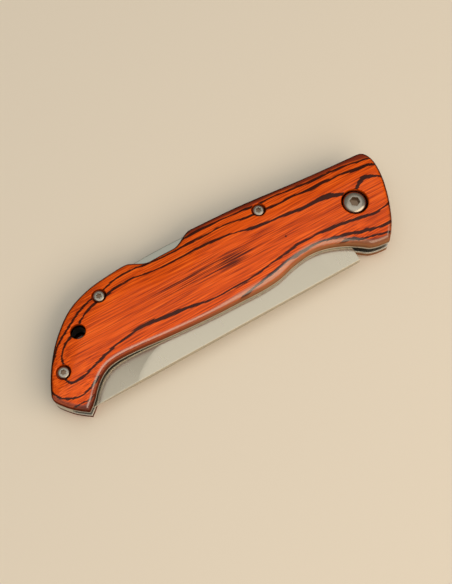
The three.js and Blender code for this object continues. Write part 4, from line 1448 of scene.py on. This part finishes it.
# %% Veneer lines
CONTOURS = {
    # Round the middle: from the front end along the back, through two screws and the lanyard hole,
    # and back along the belly.
    "line_1": [
        (14.0, 2.0), (11.1, 3.8), (9.6, 4.8), (7.9, 5.4), (6.2, 5.4), (4.8, 4.8), (3.0, 3.6),
        (0.4, 3.2), (-2.4, 4.2), (-3.8, 4.7), (-6.1, 5.6), (-8.8, 6.0), (-11.7, 6.0), (-16.4, 6.3),
        (-22.3, 7.1), (-30.2, 7.8), (-33.1, 8.3), (-40.6, 9.9), (-44.8, 10.3), (-51.7, 10.8),
        (-57.1, 10.8), (-62.2, 11.0), (-73.0, 12.0), (-80.0, 11.8), (-82.0, 11.3), (-84.4, 10.9),
        (-86.7, 10.4), (-89.0, 10.1), (-91.0, 9.0), (-93.1, 7.8), (-96.0, 5.8), (-98.4, 4.5),
        (-99.8, 4.0), (-101.0, 2.9), (-102.2, 1.8), (-103.4, -0.2), (-103.8, -2.4), (-104.7, -4.6),
        (-104.8, -6.6), (-104.0, -8.0), (-102.2, -8.4), (-99.8, -7.8), (-97.4, -7.2),
        (-91.0, -5.1), (-85.7, -3.9), (-78.8, -3.0), (-74.7, -3.2), (-71.6, -3.7), (-65.4, -4.2),
        (-59.2, -5.3), (-54.2, -5.9), (-49.0, -6.1), (-38.6, -5.6), (-35.0, -5.0), (-32.2, -4.7),
        (-26.2, -3.8), (-22.4, -3.5), (-15.4, -3.8), (-11.6, -4.0), (-5.0, -5.0), (-1.8, -5.7),
        (4.0, -6.5), (7.9, -6.0), (11.0, -4.9), (15.0, -3.0),
    ],
    # The next veneer down. It leaves the face at the butt and along the rear of the belly.
    "line_2": [
        (15.0, 7.4), (11.5, 8.4), (10.2, 8.9), (4.4, 9.8), (0.6, 10.4), (-2.6, 10.5), (-6.3, 10.7),
        (-10.0, 10.7), (-17.0, 11.4), (-20.6, 11.5), (-25.2, 11.8), (-31.2, 12.2), (-37.8, 13.2),
        (-41.3, 13.5), (-45.9, 13.5), (-51.8, 13.8), (-58.0, 13.9), (-62.0, 13.9), (-65.7, 14.2),
        (-72.2, 15.0), (-79.5, 14.4), (-81.8, 13.6), (-84.6, 13.1), (-89.8, 11.7), (-92.7, 10.3),
        (-96.1, 8.6), (-98.6, 6.9), (-101.4, 5.1), (-104.4, 2.4), (-110.4, -4.6), (-109.9, -7.6),
        (-109.2, -9.6), (-108.0, -11.0), (-104.4, -12.7), (-102.4, -12.8), (-100.8, -12.4),
        (-97.5, -10.6), (-94.0, -9.6), (-88.0, -9.3), (-80.0, -9.9), (-70.0, -10.6),
        (-60.0, -11.4), (-52.0, -10.9), (-45.6, -9.6), (-37.7, -8.0), (-34.3, -7.5), (-27.8, -6.4),
        (-18.4, -5.8), (-13.2, -6.8), (-6.5, -8.7), (-3.5, -9.8), (2.1, -11.1), (5.4, -11.3),
        (9.0, -11.0), (15.0, -9.6),
    ],
    # The lowest one on the face, along the front of the back and at the nose.
    "line_3": [
        (15.0, 10.0), (9.1, 11.2), (5.5, 12.1), (-0.8, 12.8), (-4.9, 12.9), (-15.6, 13.8),
        (-18.9, 14.3), (-29.6, 14.8), (-33.0, 15.2), (-41.7, 15.9), (-56.0, 16.4), (-68.0, 17.2),
        (-80.0, 18.6), (-93.0, 15.2), (-106.0, 5.0), (-113.5, -6.0), (-111.5, -13.6),
        (-106.0, -14.6), (-101.5, -14.8), (-98.6, -13.4), (-94.0, -12.0), (-80.0, -12.4),
        (-50.0, -13.4), (-30.0, -10.6), (-18.0, -9.4), (-7.4, -10.1), (-4.8, -11.6), (0.8, -13.3),
        (3.6, -13.8), (15.0, -14.8),
    ],
}
# The middle of each bold stretch, its reach and how much wider the line is there.
BOLD_PLACES = [
    ((-8.0, 5.6), 6.0, 0.6),
    ((-21.0, 7.1), 4.0, 0.25),
    ((-32.0, 8.2), 3.5, 0.2),
    ((-9.0, -4.0), 5.0, 0.2),
    ((6.5, 5.2), 3.5, 0.34),
    ((-3.0, -5.4), 7.0, 0.14),
    ((-29.0, 12.0), 5.0, 0.06),
    ((-45.0, 10.4), 5.0, 0.12),
    ((-63.0, -4.6), 5.0, 0.24),
    ((-74.0, -3.2), 4.0, 0.22),
    ((-91.0, -5.0), 3.0, 0.16),
    ((5.0, 12.2), 5.0, 0.06),
]

# %% Distances to the veneer lines
CONTOUR_STEP = 0.8
SWAY_WAVES = (7, 17)
SWAY_REACH = (4.0, 0.9)


def boldness(plan):
    """How much wider the black lines are near some places, in millimetres."""
    extra = [
        more * np.exp(-(np.linalg.norm(plan - np.array(at), axis=1) / reach) ** 2)
        for at, reach, more in BOLD_PLACES
    ]
    return np.sum(extra, axis=0)


def signed_gap(plan, contour):
    """The distance to a closed line in millimetres, below zero outside it."""
    line = evenly(fair_curve(contour, per_span=8), CONTOUR_STEP)
    return to_line(plan, line) * np.where(inside(plan, line), 1, -1)


def lay_veneers(piece, turned=False):
    """Stores the distance from each point to each black line.

    The hidden side's scale is cut from another place in the block, so its lines sway otherwise."""
    plan = plan_of(piece.data)
    if turned:
        short, long = SWAY_WAVES
        sway = np.column_stack([np.sin(plan[:, 1] / short), np.sin(plan[:, 0] / long + 1)])
        plan = plan + sway * SWAY_REACH
    write_attribute(piece.data, "bold", boldness(plan))
    for name, contour in CONTOURS.items():
        gaps = signed_gap(plan, contour)
        write_attribute(piece.data, name, gaps)
        print(piece.name, name, "inside:", round(float((gaps > 0).mean()), 2))


lay_veneers(front_scale)
lay_veneers(rear_scale, turned=True)

# %% [markdown]
# The small screws go in from both sides, three on each. The two halves of the pivot have the same
# head. The barrel's half is the one with a bore.

# %% Screws in place
SCREW_HEAD_HEIGHT = SCREW_SIZES["Head Height"]
SHOWN_TURNS = {"rocker": 8, "mid": 21, "butt": -5}
HIDDEN_TURNS = {"rocker": 33, "mid": 2, "butt": 17}
PIVOT_SIZES = {
    "Head Radius": 3.8,
    "Head Height": 2.2,
    "Rim Height": 1.1,
    "Top Radius": 1.95,
    "Lobes": 3,
    "Socket Radius": 3 / math.sqrt(3),
    "Socket Inner Radius": 3 / math.sqrt(3),
    "Socket Depth": 1.3,
    "Socket Fillet": 0.05,
    "Shank Radius": 2.0,
    "Shank Length": 6.3,
}
BARREL_SIZES = {**PIVOT_SIZES, "Shank Radius": 3.0, "Bore Radius": 2.3, "Bore Depth": 5.0}


def placed(node, head_height, hidden, turn):
    """A screw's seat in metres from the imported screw, whether its head is below, and its turn."""
    low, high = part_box(node)
    level = low.z + head_height * MM if hidden else high.z - head_height * MM
    return ((low.x + high.x) / 2, (low.y + high.y) / 2, level), hidden, math.radians(turn)


def driven_screws(name, places, sizes):
    """Screws at some places, with sizes in millimetres."""
    seats, hidden, turns = zip(*places)
    mesh = bpy.data.meshes.new(f"{name}_points")
    mesh.from_pydata(seats, [], [])
    write_attribute(mesh, "turned_over", hidden)
    write_attribute(mesh, "driven", turns)
    draft = bpy.data.objects.new(f"{name}_draft", mesh)
    bpy.context.scene.collection.objects.link(draft)
    return grown(draft, SCREW, name, {**sizes, "Material": screw_steel}, sharp=35)


small_places = []
for where in screw_places:
    for side, turns in (("front", SHOWN_TURNS), ("rear", HIDDEN_TURNS)):
        screw = f"{side}_{where}_screw"
        small_places.append(placed(screw, SCREW_HEAD_HEIGHT, side == "rear", turns[where]))
body_screws = driven_screws("body_screws", small_places, {})
pivot_screw = driven_screws(
    "pivot_button_screw",
    [placed("pivot_screw", PIVOT_SIZES["Head Height"], hidden=False, turn=24)],
    PIVOT_SIZES,
)
pivot_barrel = driven_screws(
    "pivot_button_barrel",
    [placed("pivot_barrel", PIVOT_SIZES["Head Height"], hidden=True, turn=9)],
    BARREL_SIZES,
)

# %% [markdown]
# The spring, the washers and the sleeves are small and hidden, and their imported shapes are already
# right, so they only get a finish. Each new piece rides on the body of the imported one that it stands
# for, and takes its place.

# %% Finishes and bodies
PACKED_FINISHES = {
    "lock_spring": spring_steel,
    "front_washer": bronze,
    "rear_washer": bronze,
    "rocker_sleeve": screw_steel,
    "mid_sleeve": screw_steel,
    "butt_sleeve": screw_steel,
}
for name, finish in PACKED_FINISHES.items():
    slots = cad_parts[name].data.materials
    slots.clear()
    slots.append(finish)

small_screws = [f"{side}_{where}_screw" for side in ("front", "rear") for where in screw_places]
PIECES = [
    (front_scale, None, "handle", ["front_scale"]),
    (rear_scale, None, "handle", ["rear_scale"]),
    (front_liner, liner_steel, "handle", ["front_liner"]),
    (rear_liner, liner_steel, "handle", ["rear_liner"]),
    (lock_bar, bar_steel, "lock_bar", ["lock_bar"]),
    (back_spacer, bar_steel, "handle", ["back_spacer"]),
    (blade, blade_steel, "blade", ["blade"]),
    (body_screws, None, "handle", small_screws),
    (pivot_screw, None, "handle", ["pivot_screw"]),
    (pivot_barrel, None, "handle", ["pivot_barrel"]),
]
for piece, finish, body, nodes in PIECES:
    if finish:
        piece.data.materials.append(finish)
    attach(piece, body)
    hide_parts(*nodes)
print("new pieces:", len(PIECES), "and packed ones with a finish:", len(PACKED_FINISHES))
